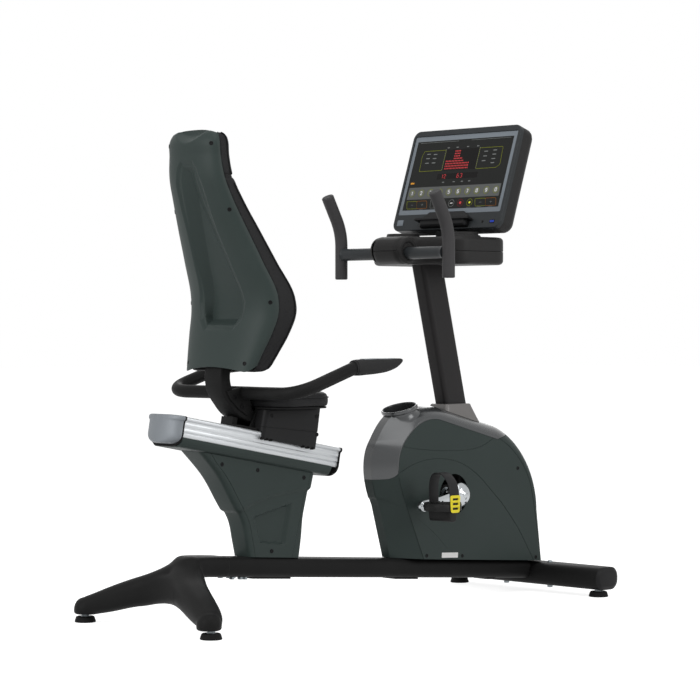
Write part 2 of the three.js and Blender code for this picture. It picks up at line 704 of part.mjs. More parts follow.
// ---- Seat ----------------------------------------------------------------------------------
// The carriage: a saddle on the rail with a tongue in its trough, two uprights and the seat pan.
function carriageFrame() {
  const inner = ARM_WIDTH / 2 + GAP;
  const saddle = block([CARRIAGE_REAR, CARRIAGE_FRONT - 8], [-58, 58], [RUNNING_GAP, SADDLE]);
  const tongue = block(
    [CARRIAGE_REAR + 15, CARRIAGE_FRONT - 20],
    [-TROUGH_HALF + RUNNING_GAP, TROUGH_HALF - RUNNING_GAP],
    [-TROUGH_DEPTH + RUNNING_GAP, SADDLE / 2],
  );
  const [heelLength, heelHalf, heelTop] = HEEL;
  const heel = block(
    [CARRIAGE_REAR, CARRIAGE_REAR + heelLength],
    [-heelHalf, heelHalf],
    [SADDLE / 2, heelTop],
  );
  const onRail = [saddle, tongue, heel].map((part) => part.applyMatrix4(railFrame.matrix));
  const pan = flatPlate(
    roundedShape(
      CUSHION_FRONT - CUSHION_REAR - 14,
      CUSHION_WIDTH - 14,
      CUSHION_CORNER - 7,
      (CUSHION_FRONT + CUSHION_REAR) / 2,
      0,
    ),
    CARRIAGE_TOP + GAP,
    CARRIAGE_TOP + GAP + PAN,
  );
  const upright = outline([
    [UPRIGHT_REAR, railTopAt(UPRIGHT_REAR) + SADDLE / 2],
    [UPRIGHT_FRONT, railTopAt(UPRIGHT_FRONT) + SADDLE / 2],
    [UPRIGHT_FRONT, CARRIAGE_TOP + PAN / 2],
    [CUSHION_REAR + 10, CARRIAGE_TOP + PAN / 2],
  ]);
  const plates = [[inner, inner + UPRIGHT], [-inner - UPRIGHT, -inner]].map(([y0, y1]) =>
    sidePlate(upright, y0, y1));
  const slot = block([-600, ARM_PATH[0][0] + 16], [-inner, inner], [CARRIAGE_TOP - 5, 640]);
  return join(...onRail, ...plates, cut(pan, slot));
}

// A skirt around the carriage, open above and below, with its rear wall open for the arm.
function carriageCover() {
  const levels = [[420, -424, -214], [500, -410, -198], [CARRIAGE_TOP, -391, -185]];
  const skin = (inset, extra) => loft(levels.map(([z, rear, front], k) => {
    const [x0, x1] = [rear + inset, front - inset];
    const width = 2 * (CARRIAGE_COVER_HALF - inset);
    return roundedPoints(x1 - x0, width, 16 - inset, 4).map(([x, y]) =>
      v3(x + (x0 + x1) / 2, y, z + extra * (k - 1)));
  }));
  const below = block([-50, RAIL_LENGTH], [-100, 100], [-200, -COVER_SKIRT]);
  const rail = block(
    [-50, RAIL_LENGTH],
    [-RAIL_HALF - RAIL_BEAD - RUNNING_GAP, RAIL_HALF + RAIL_BEAD + RUNNING_GAP],
    [-COVER_SKIRT - 5, RUNNING_GAP],
  );
  const saddle = block([-50, RAIL_LENGTH], [-58 - GAP, 58 + GAP], [0, SADDLE + GAP]);
  const armway = block([-430, -370], [-UPRIGHT_OUTER - GAP, UPRIGHT_OUTER + GAP], [500, 600]);
  const lever = turnedAcross(disc(LEVER_PIN + RUNNING_GAP, 0, 100), LEVER_AXIS, 12);
  const onRail = [below, rail, saddle].map((part) => part.applyMatrix4(railFrame.matrix));
  return cut(skin(0, 0), skin(COVER_WALL, 4), ...onRail, armway, lever);
}

function seatCushion() {
  const base = CARRIAGE_TOP + GAP + PAN + GAP;
  const levels = [
    [0, 4], [6, 0], [CUSHION_HEIGHT - 14, 0], [CUSHION_HEIGHT - 4, 5], [CUSHION_HEIGHT, 16],
  ];
  return loft(levels.map(([rise, inset]) => roundedPoints(
    CUSHION_FRONT - CUSHION_REAR - 2 * inset,
    CUSHION_WIDTH - 2 * inset,
    CUSHION_CORNER - inset,
    5,
  ).map(([x, y]) => v3(x + (CUSHION_FRONT + CUSHION_REAR) / 2, y, base + rise))));
}

function seatLever() {
  const [x, z] = LEVER_AXIS;
  const [tipX, tipZ] = [x + LEVER_LENGTH, z + LEVER_LENGTH / 6];
  const y0 = CARRIAGE_COVER_HALF + RUNNING_GAP;
  const pin = turnedAcross(disc(LEVER_PIN, UPRIGHT_OUTER + GAP, y0 + 4), LEVER_AXIS, 12);
  const arm = sidePlate(hullShape(LEVER_AXIS, 14, [tipX, tipZ], 9), y0, y0 + LEVER_THICKNESS);
  const end = y0 + LEVER_KNOB;
  const profile = [[0, y0], [9, y0], [9, end - 4], [6, end], [0, end]];
  return join(pin, arm, turnedAcross(profile, [tipX, tipZ], 12));
}

// Two discs and the tangents between them, as an outline.
function hullShape(a, radiusA, b, radiusB) {
  const [dx, dy] = [b[0] - a[0], b[1] - a[1]];
  const heading = Math.atan2(dy, dx);
  const spread = Math.acos((radiusA - radiusB) / Math.hypot(dx, dy));
  const shape = new THREE.Shape();
  shape.absarc(...a, radiusA, heading + spread, heading - spread + Math.PI * 2);
  shape.absarc(...b, radiusB, heading - spread, heading + spread);
  return shape;
}

function backrestArm() {
  const path = bentPath(ARM_PATH.map(([x, z]) => v3(x, 0, z)), [ARM_BEND, ARM_BEND], 6);
  const arm = swept(roundedPoints(ARM_DEPTH, ARM_WIDTH, 6, 2), path, v3(0, 1, 0));
  const gusset = outline([
    [-424, 564], [-410, 580], [-411, 600], [-430, 618], [-452, 643], [-500, 634], [-488, 613],
    [-458, 585],
  ]);
  const screws = GUSSET_SCREWS.map((at) => turnedAcross(disc(4, -100, 100), at, 10));
  const outer = ARM_WIDTH / 2 + GUSSET;
  const [low, high] = [BOARD_FOOT + 2, ARM_PATH.at(-1)[1] - 4];
  const [lowX, highX] = [low, high].map((z) => backrestAt(z)[1] - BOARD - 2 - GAP);
  const head = outline([[lowX - 22, low], [lowX, low], [highX, high], [highX - 22, high]]);
  const bore = swept(circlePoints(SEAT_TUBE + GAP), seatBarPath(), v3(0, 0, 1));
  const block = sidePlate(head, -ARM_WIDTH / 2 + 2, ARM_WIDTH / 2 - 2);
  return cut(join(arm, sidePlate(gusset, -outer, outer), block), bore, ...screws);
}

// The bent tube's middle line, from inside the right grip, round the back, to the left grip.
function seatBarPath() {
  const [x, z] = SEAT_BAR;
  const [cornerX, cornerY] = SEAT_BAR_CORNER;
  const [gripX, gripZ] = GRIP_START;
  const [endX, endZ] = GRIP_END;
  const right = [
    v3(mix(gripX, endX, TUBE_SHARE), -SEAT_BAR_HALF - 3, mix(gripZ, endZ, TUBE_SHARE)),
    v3(gripX, -SEAT_BAR_HALF, gripZ),
    v3(cornerX, -cornerY, z),
  ];
  const left = right.map((p) => v3(p.x, -p.y, p.z)).reverse();
  return bentPath([...right, v3(x, 0, z), ...left], SEAT_BENDS);
}

function seatHandlebar() {
  return swept(circlePoints(SEAT_TUBE), seatBarPath(), v3(0, 0, 1));
}

// A moulded hand grip: round at the tube, squarer along its length, bevelled at its end.
function seatGrip() {
  const start = v3(GRIP_START[0], -SEAT_BAR_HALF, GRIP_START[1]);
  const end = v3(GRIP_END[0], -SEAT_BAR_HALF - 8, GRIP_END[1]);
  const along = end.clone().sub(start).normalize();
  const across = v3(0, 0, 1).cross(along).normalize();
  const upward = along.clone().cross(across);
  // share of the length, width, height, corner and rise of the section's middle
  const stations = [
    [0, 43, 43, 17, 0], [0.12, 45, 43, 15, 0], [0.45, 44, 40, 12, 0], [0.7, 44, 33, 10, 1],
    [0.9, 42, 21, 7, 6], [1, 36, 9, 4, 11],
  ];
  const body = loft(stations.map(([share, width, height, corner, rise]) => {
    const middleAt = start.clone().lerp(end, share).addScaledVector(upward, rise);
    return roundedPoints(width, height, corner, 2).map(([u, v]) =>
      middleAt.clone().addScaledVector(across, u).addScaledVector(upward, v));
  }));
  const path = seatBarPath().slice(0, BEND_STEPS + 3);
  path[0].addScaledVector(along, GAP);
  return cut(body, swept(circlePoints(SEAT_TUBE + GAP), path, v3(0, 0, 1)));
}

// Height, X of the shell's edge, half-width, depth of the shell behind it, cushion in front.
const BACKREST = [
  [684, -486, 134, 44, 60], [736, -468, 149, 48, 69], [790, -447, 164, 56, 74],
  [852, -431, 174, 58, 76], [890, -433, 173, 58, 73], [986, -472, 154, 54, 62],
  [1073, -511, 135, 50, 55], [1149, -544, 118, 46, 48], [1212, -567, 108, 42, 41],
  [1270, -575, 101, 37, 39], [1318, -576, 96, 34, 38], [1334, -574, 88, 26, 34],
];
const backrestAt = (z) => {
  const k = Math.max(BACKREST.findIndex(([level]) => level >= z), 1);
  const [a, b] = [BACKREST[k - 1], BACKREST[k]];
  const share = (z - a[0]) / (b[0] - a[0]);
  return a.map((value, i) => mix(value, b[i], share));
};

// The rear of the backrest: a bellied half section at each height.
function backrestSkin(inset, levels) {
  return loft(levels.map(([z, edge, half, belly]) => {
    const steps = 10;
    return Array.from({ length: steps + 1 }, (_, i) => {
      const angle = Math.PI * (i / steps);
      const side = Math.sign(Math.cos(angle)) * Math.abs(Math.cos(angle)) ** 0.9;
      const rear = Math.sin(angle) ** 0.85;
      const across = (half - inset) * side;
      return v3(edge + (inset ? 5 : 0) - (belly - inset + (inset ? 5 : 0)) * rear, across, z);
    });
  }));
}

// The long tapering recess pressed into the shell's back.
function backrestRecess(grow) {
  const [low, high] = RECESS_Z;
  const rows = [low - grow, low + 40, 890, 1070, high - 25, high + grow];
  return loft(rows.map((z) => {
    const [, edge, , belly] = backrestAt(z);
    const share = (z - low) / (high - low);
    const half = mix(RECESS_HALF[0], RECESS_HALF[1], share) + grow;
    const floor = edge - belly + RECESS_DEPTH + grow;
    return [
      v3(edge - 120, -half - 6, z), v3(floor, -half + 14, z),
      v3(floor, half - 14, z), v3(edge - 120, half + 6, z),
    ];
  }));
}

function backrestShell() {
  const inner = BACKREST.slice(0, -1).map(([z, ...rest], k) => [k ? z : z - 20, ...rest]);
  const cavity = cut(backrestSkin(COVER_WALL, inner), backrestRecess(COVER_WALL));
  const [archHalf, archRise] = SHELL_ARCH;
  const arch = new THREE.Shape();
  arch.absellipse(0, BACKREST[0][0] - 1, archHalf, archRise + 1, 0, Math.PI);
  return cut(backrestSkin(0, BACKREST), backrestRecess(0), cavity, crossPlate(arch, -600, -400, 5));
}

// A pad over the shell's rim between two heights.
function backPad(low, high, front = 0) {
  const inside = BACKREST.filter(([z]) => z > low + 4 && z < high - 4);
  const levels = [backrestAt(low), ...inside, backrestAt(high)];
  const last = levels.length - 1;
  return loft(levels.map(([z, edge, half, , depth], k) => {
    const inset = k === 0 || k === last ? 5 : 0;
    const [x0, x1] = [edge + GAP, edge + depth + front - inset];
    return roundedPoints(x1 - x0, 2 * (half - inset), 12, 2).map(([x, y]) =>
      v3(x < 0 ? x0 : x + (x0 + x1) / 2, y, z));
  }));
}

function backrestCushion() {
  const foot = BACKREST[0][1];
  const half = ARM_WIDTH / 2 + 1;
  const relief = block([foot - 10, foot + ARM_RELIEF], [-half, half], [600, BOARD_FOOT - 40]);
  return cut(backPad(BACKREST[0][0] + 2, HEAD_SEAM - GAP), relief);
}

// The ply board that the pad is stapled to, screwed to the arm's head.
function backrestBoard() {
  const levels = [BOARD_FOOT, 790, 852, 890, 986, 1073, 1149, 1212, 1290].map(backrestAt);
  return loft(levels.map(([z, edge, half]) => {
    const [x0, x1] = [edge - BOARD - 2, edge - 2];
    const side = half - 14;
    return [v3(x0, -side, z), v3(x1, -side, z), v3(x1, side, z), v3(x0, side, z)];
  }));
}

piece(bike, 'carriage_frame', 'frame', carriageFrame());
piece(bike, 'carriage_cover', 'plastic', carriageCover());
piece(bike, 'seat_cushion', 'upholstery', seatCushion());
piece(bike, 'seat_lever', 'plastic', seatLever());
piece(bike, 'backrest_arm', 'frame', backrestArm());
piece(bike, 'seat_handlebar', 'frame', seatHandlebar());
pair(bike, 'seat_grip', 'plastic', seatGrip());
piece(bike, 'backrest_board', 'plastic', backrestBoard());
piece(bike, 'backrest_shell', 'cover', backrestShell());
piece(bike, 'backrest_cushion', 'upholstery', backrestCushion());
piece(bike, 'head_cushion', 'upholstery', backPad(HEAD_SEAM, BACKREST.at(-1)[0]));

// ---- Drive housing -------------------------------------------------------------------------
// Outlines from the rear foot of the housing over its top to the front foot: one on its side
// face and one along its middle. Each has the same segments, so that they can be blended.
const SIDE_LINE = [
  ['move', [237, 120]], ['line', [148, 318]], ['curve', [120, 385], [116, 440], [160, 485]],
  ['curve', [178, 505], [200, 522], [225, 532]], ['curve', [252, 543], [282, 544], [307, 538]],
  ['line', [545, 475]], ['curve', [645, 442], [714, 350], [715, 250]], ['line', [732, 85]],
];
const MIDDLE_LINE = [
  ['move', [147, 120]], ['line', [98, 290]], ['curve', [58, 372], [62, 440], [92, 478]],
  ['curve', [110, 506], [135, 545], [175, 560]], ['curve', [235, 582], [300, 582], [359, 566]],
  ['line', [562, 514]], ['curve', [670, 482], [745, 365], [747, 250]], ['line', [765, 80]],
];
const CURVE_STEPS = 4;

function traced(line) {
  const path = new THREE.Path();
  for (const [kind, ...points] of line) {
    if (kind === 'move') path.moveTo(...points[0]);
    if (kind === 'line') path.lineTo(...points[0]);
    if (kind === 'curve') path.bezierCurveTo(...points.flat());
  }
  return path.getPoints(CURVE_STEPS);
}

// The outline moved outwards by a distance.
function offsetLine(points, distance) {
  return points.map((p, i) => {
    const along = points[Math.min(i + 1, points.length - 1)].clone()
      .sub(points[Math.max(i - 1, 0)]).normalize();
    return v2(p.x - along.y * distance, p.y + along.x * distance);
  });
}

// Housing solid grown outwards by a distance; a negative one gives the space inside the wall.
function housingSkin(grow) {
  const side = offsetLine(traced(SIDE_LINE), grow);
  const ridge = offsetLine(traced(MIDDLE_LINE), grow);
  const half = HOUSING_HALF + grow;
  const layers = [half, half - 2, half - 7, half - 22, NOSE_HALF];
  const noseEnd = CURVE_STEPS + 2; // points that belong to the flat-fronted nose
  const crownStart = 3 * CURVE_STEPS + 2;
  const rings = [...layers, ...layers.map((y) => -y).reverse()].map((y) => {
    const crown = Math.sqrt(1 - (y / half) ** 2);
    const nose = Math.min((half - Math.abs(y)) / (half - NOSE_HALF), 1);
    const ring = side.map((p, i) => {
      const share = THREE.MathUtils.smoothstep(i, noseEnd, crownStart);
      const { x, y: z } = p.clone().lerp(ridge[i], mix(nose, crown, share));
      return v3(x, y, z);
    });
    const [first, last] = [ring[0], ring.at(-1)];
    return [...ring, v3(last.x, y, 40 + 2 * grow), v3(first.x, y, 40 + 2 * grow)];
  });
  return loft(rings);
}

const [HOUSING_REAR, HOUSING_FRONT] = [0, 900];
const housingFloor = (x) => beamTopAt(x) + HOUSING_LIFT;

// Everything of the housing that its side covers form, seen from the side.
function coverRegion(grow) {
  const edge = offsetLine(traced(SIDE_LINE), -FAIRING_LAP + grow)
    .filter(({ x, y }) => y > FAIRING_Z + 30 && x < FAIRING_END);
  return outline([
    [HOUSING_FRONT, housingFloor(HOUSING_FRONT) - 20], [HOUSING_FRONT, 700],
    [FAIRING_END + 130 - grow, 700], [FAIRING_END + 72 - grow, 486 + grow],
    [FAIRING_END - grow, 470 + grow],
    ...edge.reverse().map((p) => [p.x, p.y]),
    [127 - grow, FAIRING_Z + 16 + grow], [108, FAIRING_Z + 5 + grow], [HOUSING_REAR, FAIRING_Z + grow],
    [HOUSING_REAR, housingFloor(HOUSING_REAR) - 20],
  ]);
}

function housingShell() {
  const floor = outline([
    [HOUSING_REAR, housingFloor(HOUSING_REAR)], [HOUSING_FRONT, housingFloor(HOUSING_FRONT)],
    [HOUSING_FRONT, 0], [HOUSING_REAR, 0],
  ]);
  const window = turnedAcross(disc(CRANK_WINDOW, -100, 100), CRANK_AXIS, 32);
  return cut(housingSkin(0), sidePlate(floor, -100, 100), housingSkin(-COVER_WALL), window);
}

function housingCover(shell) {
  return common(shell, sidePlate(coverRegion(-GAP / 2), -100, -GAP / 2));
}

const cupTilt = new THREE.Matrix4().makeRotationY(rad(-BOTTLE_TILT)).setPosition(...BOTTLE_CUP);

function topFairing(shell) {
  const strip = cut(shell, sidePlate(coverRegion(GAP / 2), -120, 120));
  const outer = BOTTLE_RADIUS + COVER_WALL;
  const lip = outer + 5;
  const well = turned([
    [0, -BOTTLE_DEPTH], [outer, -BOTTLE_DEPTH], [outer, -34], [lip, -22], [lip, -2], [lip - 2, 0],
    [BOTTLE_RADIUS, 0], [BOTTLE_RADIUS - 3, COVER_WALL - BOTTLE_DEPTH], [0, COVER_WALL - BOTTLE_DEPTH],
  ], 20);
  const bore = turned(disc(outer - 1, -BOTTLE_DEPTH - 1, 60), 20);
  const mastway = flatPlate(mastShape(GAP * 2), -50, 1100).applyMatrix4(mastFrame);
  return cut(join(cut(strip, bore.applyMatrix4(cupTilt)), well.applyMatrix4(cupTilt)), mastway);
}

// The mast stands on the beam and leans to the rear.
const mastLean = Math.atan2(MAST_TOP[0] - MAST_FOOT[0], MAST_TOP[1] - MAST_FOOT[1]);
const MAST_RISE = Math.hypot(MAST_TOP[0] - MAST_FOOT[0], MAST_TOP[1] - MAST_FOOT[1]);
const mastFrame = new THREE.Matrix4().makeRotationY(mastLean)
  .setPosition(MAST_FOOT[0], 0, MAST_FOOT[1]);
const mastShape = (grow) =>
  roundedShape(MAST_LENGTH + 2 * grow, MAST_WIDTH + 2 * grow, MAST_CORNER + grow);
const belowPlate = () =>
  block([-900, 900], [-120, 120], [-300, GAP + PLATE + GAP]).applyMatrix4(beamFrame.matrix);

function mast() {
  const shape = mastShape(0);
  shape.holes.push(mastShape(-MAST_WALL));
  return cut(flatPlate(shape, -40, MAST_RISE).applyMatrix4(mastFrame), belowPlate());
}

function mastBoot() {
  const [x, z] = BOOT_TOP;
  const rings = [[z, x - 52, x + 51, 36], [z - 6, x - 54, x + 53, 38], [z - 90, x - 74, x + 105, 52]];
  const body = loft(rings.map(([level, x0, x1, half]) =>
    roundedPoints(x1 - x0, 2 * half, 13).map(([u, v]) => v3(u + (x0 + x1) / 2, v, level))));
  const mastway = flatPlate(mastShape(GAP), -50, 1100).applyMatrix4(mastFrame);
  return cut(body, housingSkin(GAP), mastway);
}

const shell = housingShell();
pair(bike, 'housing_cover', 'cover', housingCover(shell));
piece(bike, 'top_fairing', 'fairing', topFairing(shell));
piece(bike, 'mast_boot', 'fairing', mastBoot());
piece(bike, 'mast', 'frame', mast());

// ---- Drive ---------------------------------------------------------------------------------
const mastX = (z) => MAST_FOOT[0] + (z - MAST_FOOT[1]) * Math.tan(mastLean);
const mastReach = MAST_LENGTH / 2 / Math.cos(mastLean) + GAP;

function driveFrame() {
  const plate = block([PLATE_ENDS[0], PLATE_ENDS[1]], [-40, 40], [GAP, GAP + PLATE]);
  const low = (x) => beamTopAt(x) + 2;
  const [cx, cz] = CRANK_AXIS;
  const [fx, fz] = FLYWHEEL_AXIS;
  const top = cz + 22;
  const rear = outline([
    [cx - 76, low(cx - 76)], [mastX(130) - mastReach, low(470)], [mastX(top) - mastReach, top],
    [cx, top], [cx - 24, cz],
  ]);
  const front = outline([
    [mastX(low(590)) + mastReach, low(590)], [fx + 74, low(fx + 74)], [fx + 26, fz],
    [fx + 26, BRAKE_Z + 20], [fx - 30, BRAKE_Z + 20], [mastX(fz + 30) + mastReach, fz + 30],
  ]);
  const bracket = turnedAcross(disc(BEARING_RADIUS + 7, -BRACKET_HALF, BRACKET_HALF), CRANK_AXIS);
  const hub = disc(SHAFT_RADIUS + 10, FLYWHEEL_Y[1] + 2, PULLEY_Y[0] - 2);
  const solid = join(
    plate.applyMatrix4(beamFrame.matrix),
    sidePlate(rear, -12, 12),
    sidePlate(front, -12, 12),
    bracket,
    turnedAcross(hub, FLYWHEEL_AXIS),
  );
  return cut(
    solid,
    turnedAcross(disc(BEARING_RADIUS + GAP, -100, 100), CRANK_AXIS),
    turnedAcross(disc(SHAFT_RADIUS + GAP, -100, 100), FLYWHEEL_AXIS),
  );
}

function crankBearing() {
  const profile = ring(SPINDLE_RADIUS + GAP, BEARING_RADIUS, -BRACKET_HALF, -BRACKET_HALF + 12);
  return turnedAcross(profile, CRANK_AXIS);
}

// A grooved, spoked pulley for the ribbed belt, around the crank spindle.
function crankPulley() {
  const [y0, y1] = PULLEY_Y;
  const groove = 1.5;
  const profile = [
    [SPINDLE_RADIUS + GAP, y0 - 4], [30, y0 - 4], [30, y0 + 6], [PULLEY_RADIUS - 14, y0 + 6],
    [PULLEY_RADIUS - 14, y0], [PULLEY_RADIUS + 4, y0], [PULLEY_RADIUS + 4, y0 + groove],
    [PULLEY_RADIUS, y0 + groove], [PULLEY_RADIUS, y1 - groove], [PULLEY_RADIUS + 4, y1 - groove],
    [PULLEY_RADIUS + 4, y1], [PULLEY_RADIUS - 14, y1], [PULLEY_RADIUS - 14, y1 - 5],
    [30, y1 - 5], [30, y1], [SPINDLE_RADIUS + GAP, y1], [SPINDLE_RADIUS + GAP, y0 - 4],
  ];
  const windows = Array.from({ length: 5 }, (_, k) => {
    const angle = (k / 5) * Math.PI * 2;
    const centre = [CRANK_AXIS[0] + 64 * Math.cos(angle), CRANK_AXIS[1] + 64 * Math.sin(angle)];
    return turnedAcross(disc(20, y0 - 10, y1 + 10), centre, 8);
  });
  return cut(turnedAcross(profile, CRANK_AXIS, 26), ...windows);
}

function flywheel() {
  const [y0, y1] = FLYWHEEL_Y;
  const profile = [
    [SHAFT_RADIUS + GAP, y0], [26, y0], [26, y0 + 7], [FLYWHEEL_RADIUS - 22, y0 + 7],
    [FLYWHEEL_RADIUS - 22, y0], [FLYWHEEL_RADIUS, y0], [FLYWHEEL_RADIUS, y1],
    [FLYWHEEL_RADIUS - 22, y1], [FLYWHEEL_RADIUS - 22, y1 - 7], [26, y1 - 7], [26, y1],
    [SHAFT_RADIUS + GAP, y1], [SHAFT_RADIUS + GAP, y0],
  ];
  return turnedAcross(profile, FLYWHEEL_AXIS, 28);
}

// The flywheel's shaft, with the small pulley turned on its other end.
function flywheelShaft() {
  const [p0, p1] = PULLEY_Y;
  return turnedAcross([
    [0, FLYWHEEL_Y[0] - 2], [SHAFT_RADIUS, FLYWHEEL_Y[0] - 2], [SHAFT_RADIUS, p0],
    [DRIVEN_RADIUS + 3, p0], [DRIVEN_RADIUS + 3, p0 + 1.5], [DRIVEN_RADIUS, p0 + 1.5],
    [DRIVEN_RADIUS, p1 - 1.5], [DRIVEN_RADIUS + 3, p1 - 1.5], [DRIVEN_RADIUS + 3, p1], [0, p1],
  ], FLYWHEEL_AXIS, 16);
}

function driveBelt() {
  const loop = (grow) => hullShape(
    CRANK_AXIS,
    PULLEY_RADIUS + BELT_CLEAR + grow,
    FLYWHEEL_AXIS,
    DRIVEN_RADIUS + BELT_CLEAR + grow,
  );
  const [y0, y1] = [PULLEY_Y[0] + 2.2, PULLEY_Y[1] - 2.2];
  return cut(sidePlate(loop(BELT_THICKNESS), y0, y1, 10), sidePlate(loop(0), y0 - 1, y1 + 1, 10));
}

// Magnet block that straddles the flywheel's rim and brakes it.
function brakeMagnet() {
  const [x, z] = FLYWHEEL_AXIS;
  const [y0, y1] = FLYWHEEL_Y;
  const body = block([x - 28, x + 24], [y0 - 3.5, -12 - GAP], [BRAKE_Z - 24, BRAKE_Z + 18]);
  return cut(body, turnedAcross(disc(FLYWHEEL_RADIUS + 3, y0 - 1.2, y1 + 1.2), [x, z], 28));
}

piece(bike, 'drive_frame', 'frame', driveFrame());
pair(bike, 'crank_bearing', 'steel', crankBearing());
piece(bike, 'crank_pulley', 'plastic', crankPulley());
piece(bike, 'drive_belt', 'rubber', driveBelt());
piece(bike, 'flywheel', 'steel', flywheel());
piece(bike, 'flywheel_shaft', 'steel', flywheelShaft());
piece(bike, 'brake_magnet', 'steel', brakeMagnet());

// ---- Cranks and pedals ---------------------------------------------------------------------
const crankEnd = [
  CRANK_AXIS[0] - CRANK_LENGTH * Math.cos(rad(CRANK_ANGLE)),
  CRANK_AXIS[1] - CRANK_LENGTH * Math.sin(rad(CRANK_ANGLE)),
];
const CRANK_OUTER = CRANK_INNER + CRANK_THICKNESS;
const PEDAL_INNER = PEDAL_Y - PEDAL_WIDTH / 2;

// The left crank is the right one mirrored and turned half round.
function opposite(right) {
  const [x, z] = CRANK_AXIS;
  return mirrored(right).translate(-x, 0, -z).rotateY(Math.PI).translate(x, 0, z);
}

// Pedals hang upright on both sides.
function hung(right) {
  const [x, z] = CRANK_AXIS;
  return mirrored(right).translate(2 * (x - crankEnd[0]), 0, 2 * (z - crankEnd[1]));
}

function rightCrank() {
  const arm = sidePlate(hullShape(CRANK_AXIS, 24, crankEnd, 17), -CRANK_OUTER, -CRANK_INNER, 4);
  const hub = turnedAcross([
    [0, -CRANK_OUTER - 6], [10, -CRANK_OUTER - 5], [24, -CRANK_OUTER], [HUB_RADIUS, -CRANK_INNER - 3],
    [HUB_RADIUS, -CRANK_INNER + 6], [HUB_RADIUS - 6, -HUB_INNER], [0, -HUB_INNER],
  ], CRANK_AXIS, 18);
  const socket = turnedAcross(disc(SPINDLE_RADIUS + GAP, -SPINDLE_HALF - GAP, -10), CRANK_AXIS, 16);
  const axleEnd = -PEDAL_Y - PEDAL_WIDTH / 2 + 8;
  const axle = turnedAcross(disc(AXLE_RADIUS, axleEnd, -CRANK_INNER - 2), crankEnd, 12);
  return cut(join(arm, hub, axle), socket);
}

// Cage of the pedal, with a keel across it that carries the axle and hangs as its weight.
function rightPedal() {
  const [x, z] = crankEnd;
  const cage = roundedShape(PEDAL_LENGTH, PEDAL_WIDTH, 38, x, -PEDAL_Y);
  cage.holes.push(roundedShape(PEDAL_LENGTH - 18, PEDAL_WIDTH - 18, 29, x, -PEDAL_Y));
  const body = flatPlate(cage, z - PEDAL_HEIGHT + 9, z + 9, 3);
  const keel = roundedShape(KEEL_LENGTH, KEEL_HEIGHT, 11, x, z + 10 - KEEL_HEIGHT / 2);
  const across = sidePlate(keel, -PEDAL_Y - PEDAL_WIDTH / 2 + 4, -PEDAL_INNER - 4);
  const bore = turnedAcross(
    disc(AXLE_RADIUS + RUNNING_GAP, -PEDAL_Y - PEDAL_WIDTH / 2 + 7, -100),
    crankEnd,
    12,
  );
  return cut(join(body, across), bore);
}

function rightStrap() {
  const [x, z] = crankEnd;
  const base = z - PEDAL_HEIGHT + 12;
  const loop = (grow) => {
    const half = PEDAL_WIDTH / 2 + GAP + grow;
    const shape = new THREE.Shape();
    shape.moveTo(-PEDAL_Y - half, base - (grow ? 0 : 1));
    shape.lineTo(-PEDAL_Y + half, base - (grow ? 0 : 1));
    shape.absellipse(-PEDAL_Y, z + 24, half, STRAP_RISE - STRAP + grow, 0, Math.PI);
    return shape;
  };
  const outer = crossPlate(loop(STRAP), x - STRAP_WIDTH / 2, x + STRAP_WIDTH / 2, 5);
  const axleway = turnedAcross(disc(AXLE_RADIUS + RUNNING_GAP, -PEDAL_Y, 0), crankEnd, 12);
  return cut(outer, crossPlate(loop(0), x - STRAP_WIDTH, x + STRAP_WIDTH, 5), axleway);
}

function rightBuckle() {
  const [x, z] = crankEnd;
  const shape = roundedShape(STRAP_WIDTH + 3, 52, 5, x, z + 3);
  const y = -PEDAL_Y - PEDAL_WIDTH / 2 - GAP - STRAP - GAP;
  return sidePlate(shape, y - 4, y);
}

for (const [name, look, right] of [
  ['crank', 'chrome', rightCrank()], ['pedal', 'plastic', rightPedal()],
  ['pedal_strap', 'plastic', rightStrap()], ['strap_buckle', 'buckle', rightBuckle()],
]) {
  piece(bike, `${name}_right`, look, right.clone());
  piece(bike, `${name}_left`, look, name === 'crank' ? opposite(right) : hung(right));
}
const spindle = disc(SPINDLE_RADIUS, -SPINDLE_HALF, SPINDLE_HALF);
piece(bike, 'crank_spindle', 'steel', turnedAcross(spindle, CRANK_AXIS));

// ---- Console -------------------------------------------------------------------------------
// Plan of the pod: a narrow snout around the handlebar, widening to the cup holders.
function podPlan(inset) {
  const shape = new THREE.Path();
  shape.moveTo(POD_REAR, 0);
  shape.lineTo(POD_REAR, 34);
  shape.quadraticCurveTo(POD_REAR, SNOUT_HALF, POD_REAR + 28, SNOUT_HALF);
  shape.lineTo(BAR_X + TUBE_RADIUS + 12, SNOUT_HALF);
  shape.bezierCurveTo(245, 66, 232, POD_HALF, 300, POD_HALF);
  shape.lineTo(POD_FRONT - 54, POD_HALF);
  shape.quadraticCurveTo(POD_FRONT, POD_HALF, POD_FRONT, POD_HALF - 54);
  shape.lineTo(POD_FRONT, 0);
  const half = offsetLine(shape.getPoints(4), -inset).filter((p) => p.y >= 0);
  half[0].y = 0;
  half.at(-1).y = 0;
  const flip = half.slice(1, -1).map((p) => v2(p.x, -p.y)).reverse();
  return [...half, ...flip];
}

const podLoft = (levels) =>
  loft(levels.map(([z, inset]) => podPlan(inset).map((p) => v3(p.x, p.y, z))));

function podCuts() {
  const mastway = flatPlate(mastShape(GAP), -50, MAST_RISE + GAP).applyMatrix4(mastFrame);
  const tube = turnedAcross(disc(TUBE_RADIUS + GAP, -300, 300), [BAR_X, BAR_Z], 16);
  const wells = SIDES.map(([, side]) =>
    turned(disc(CUP_RADIUS, POD_BOTTOM + 11, POD_TOP + 50), 20).translate(CUP_X, side * CUP_Y, 0));
  return [mastway, tube, ...wells];
}

function podLower() {
  const levels = [[POD_BOTTOM, 14], [POD_BOTTOM + 4, 5], [POD_BOTTOM + 12, 0], [POD_SEAM - GAP, 0]];
  return cut(podLoft(levels), ...podCuts());
}

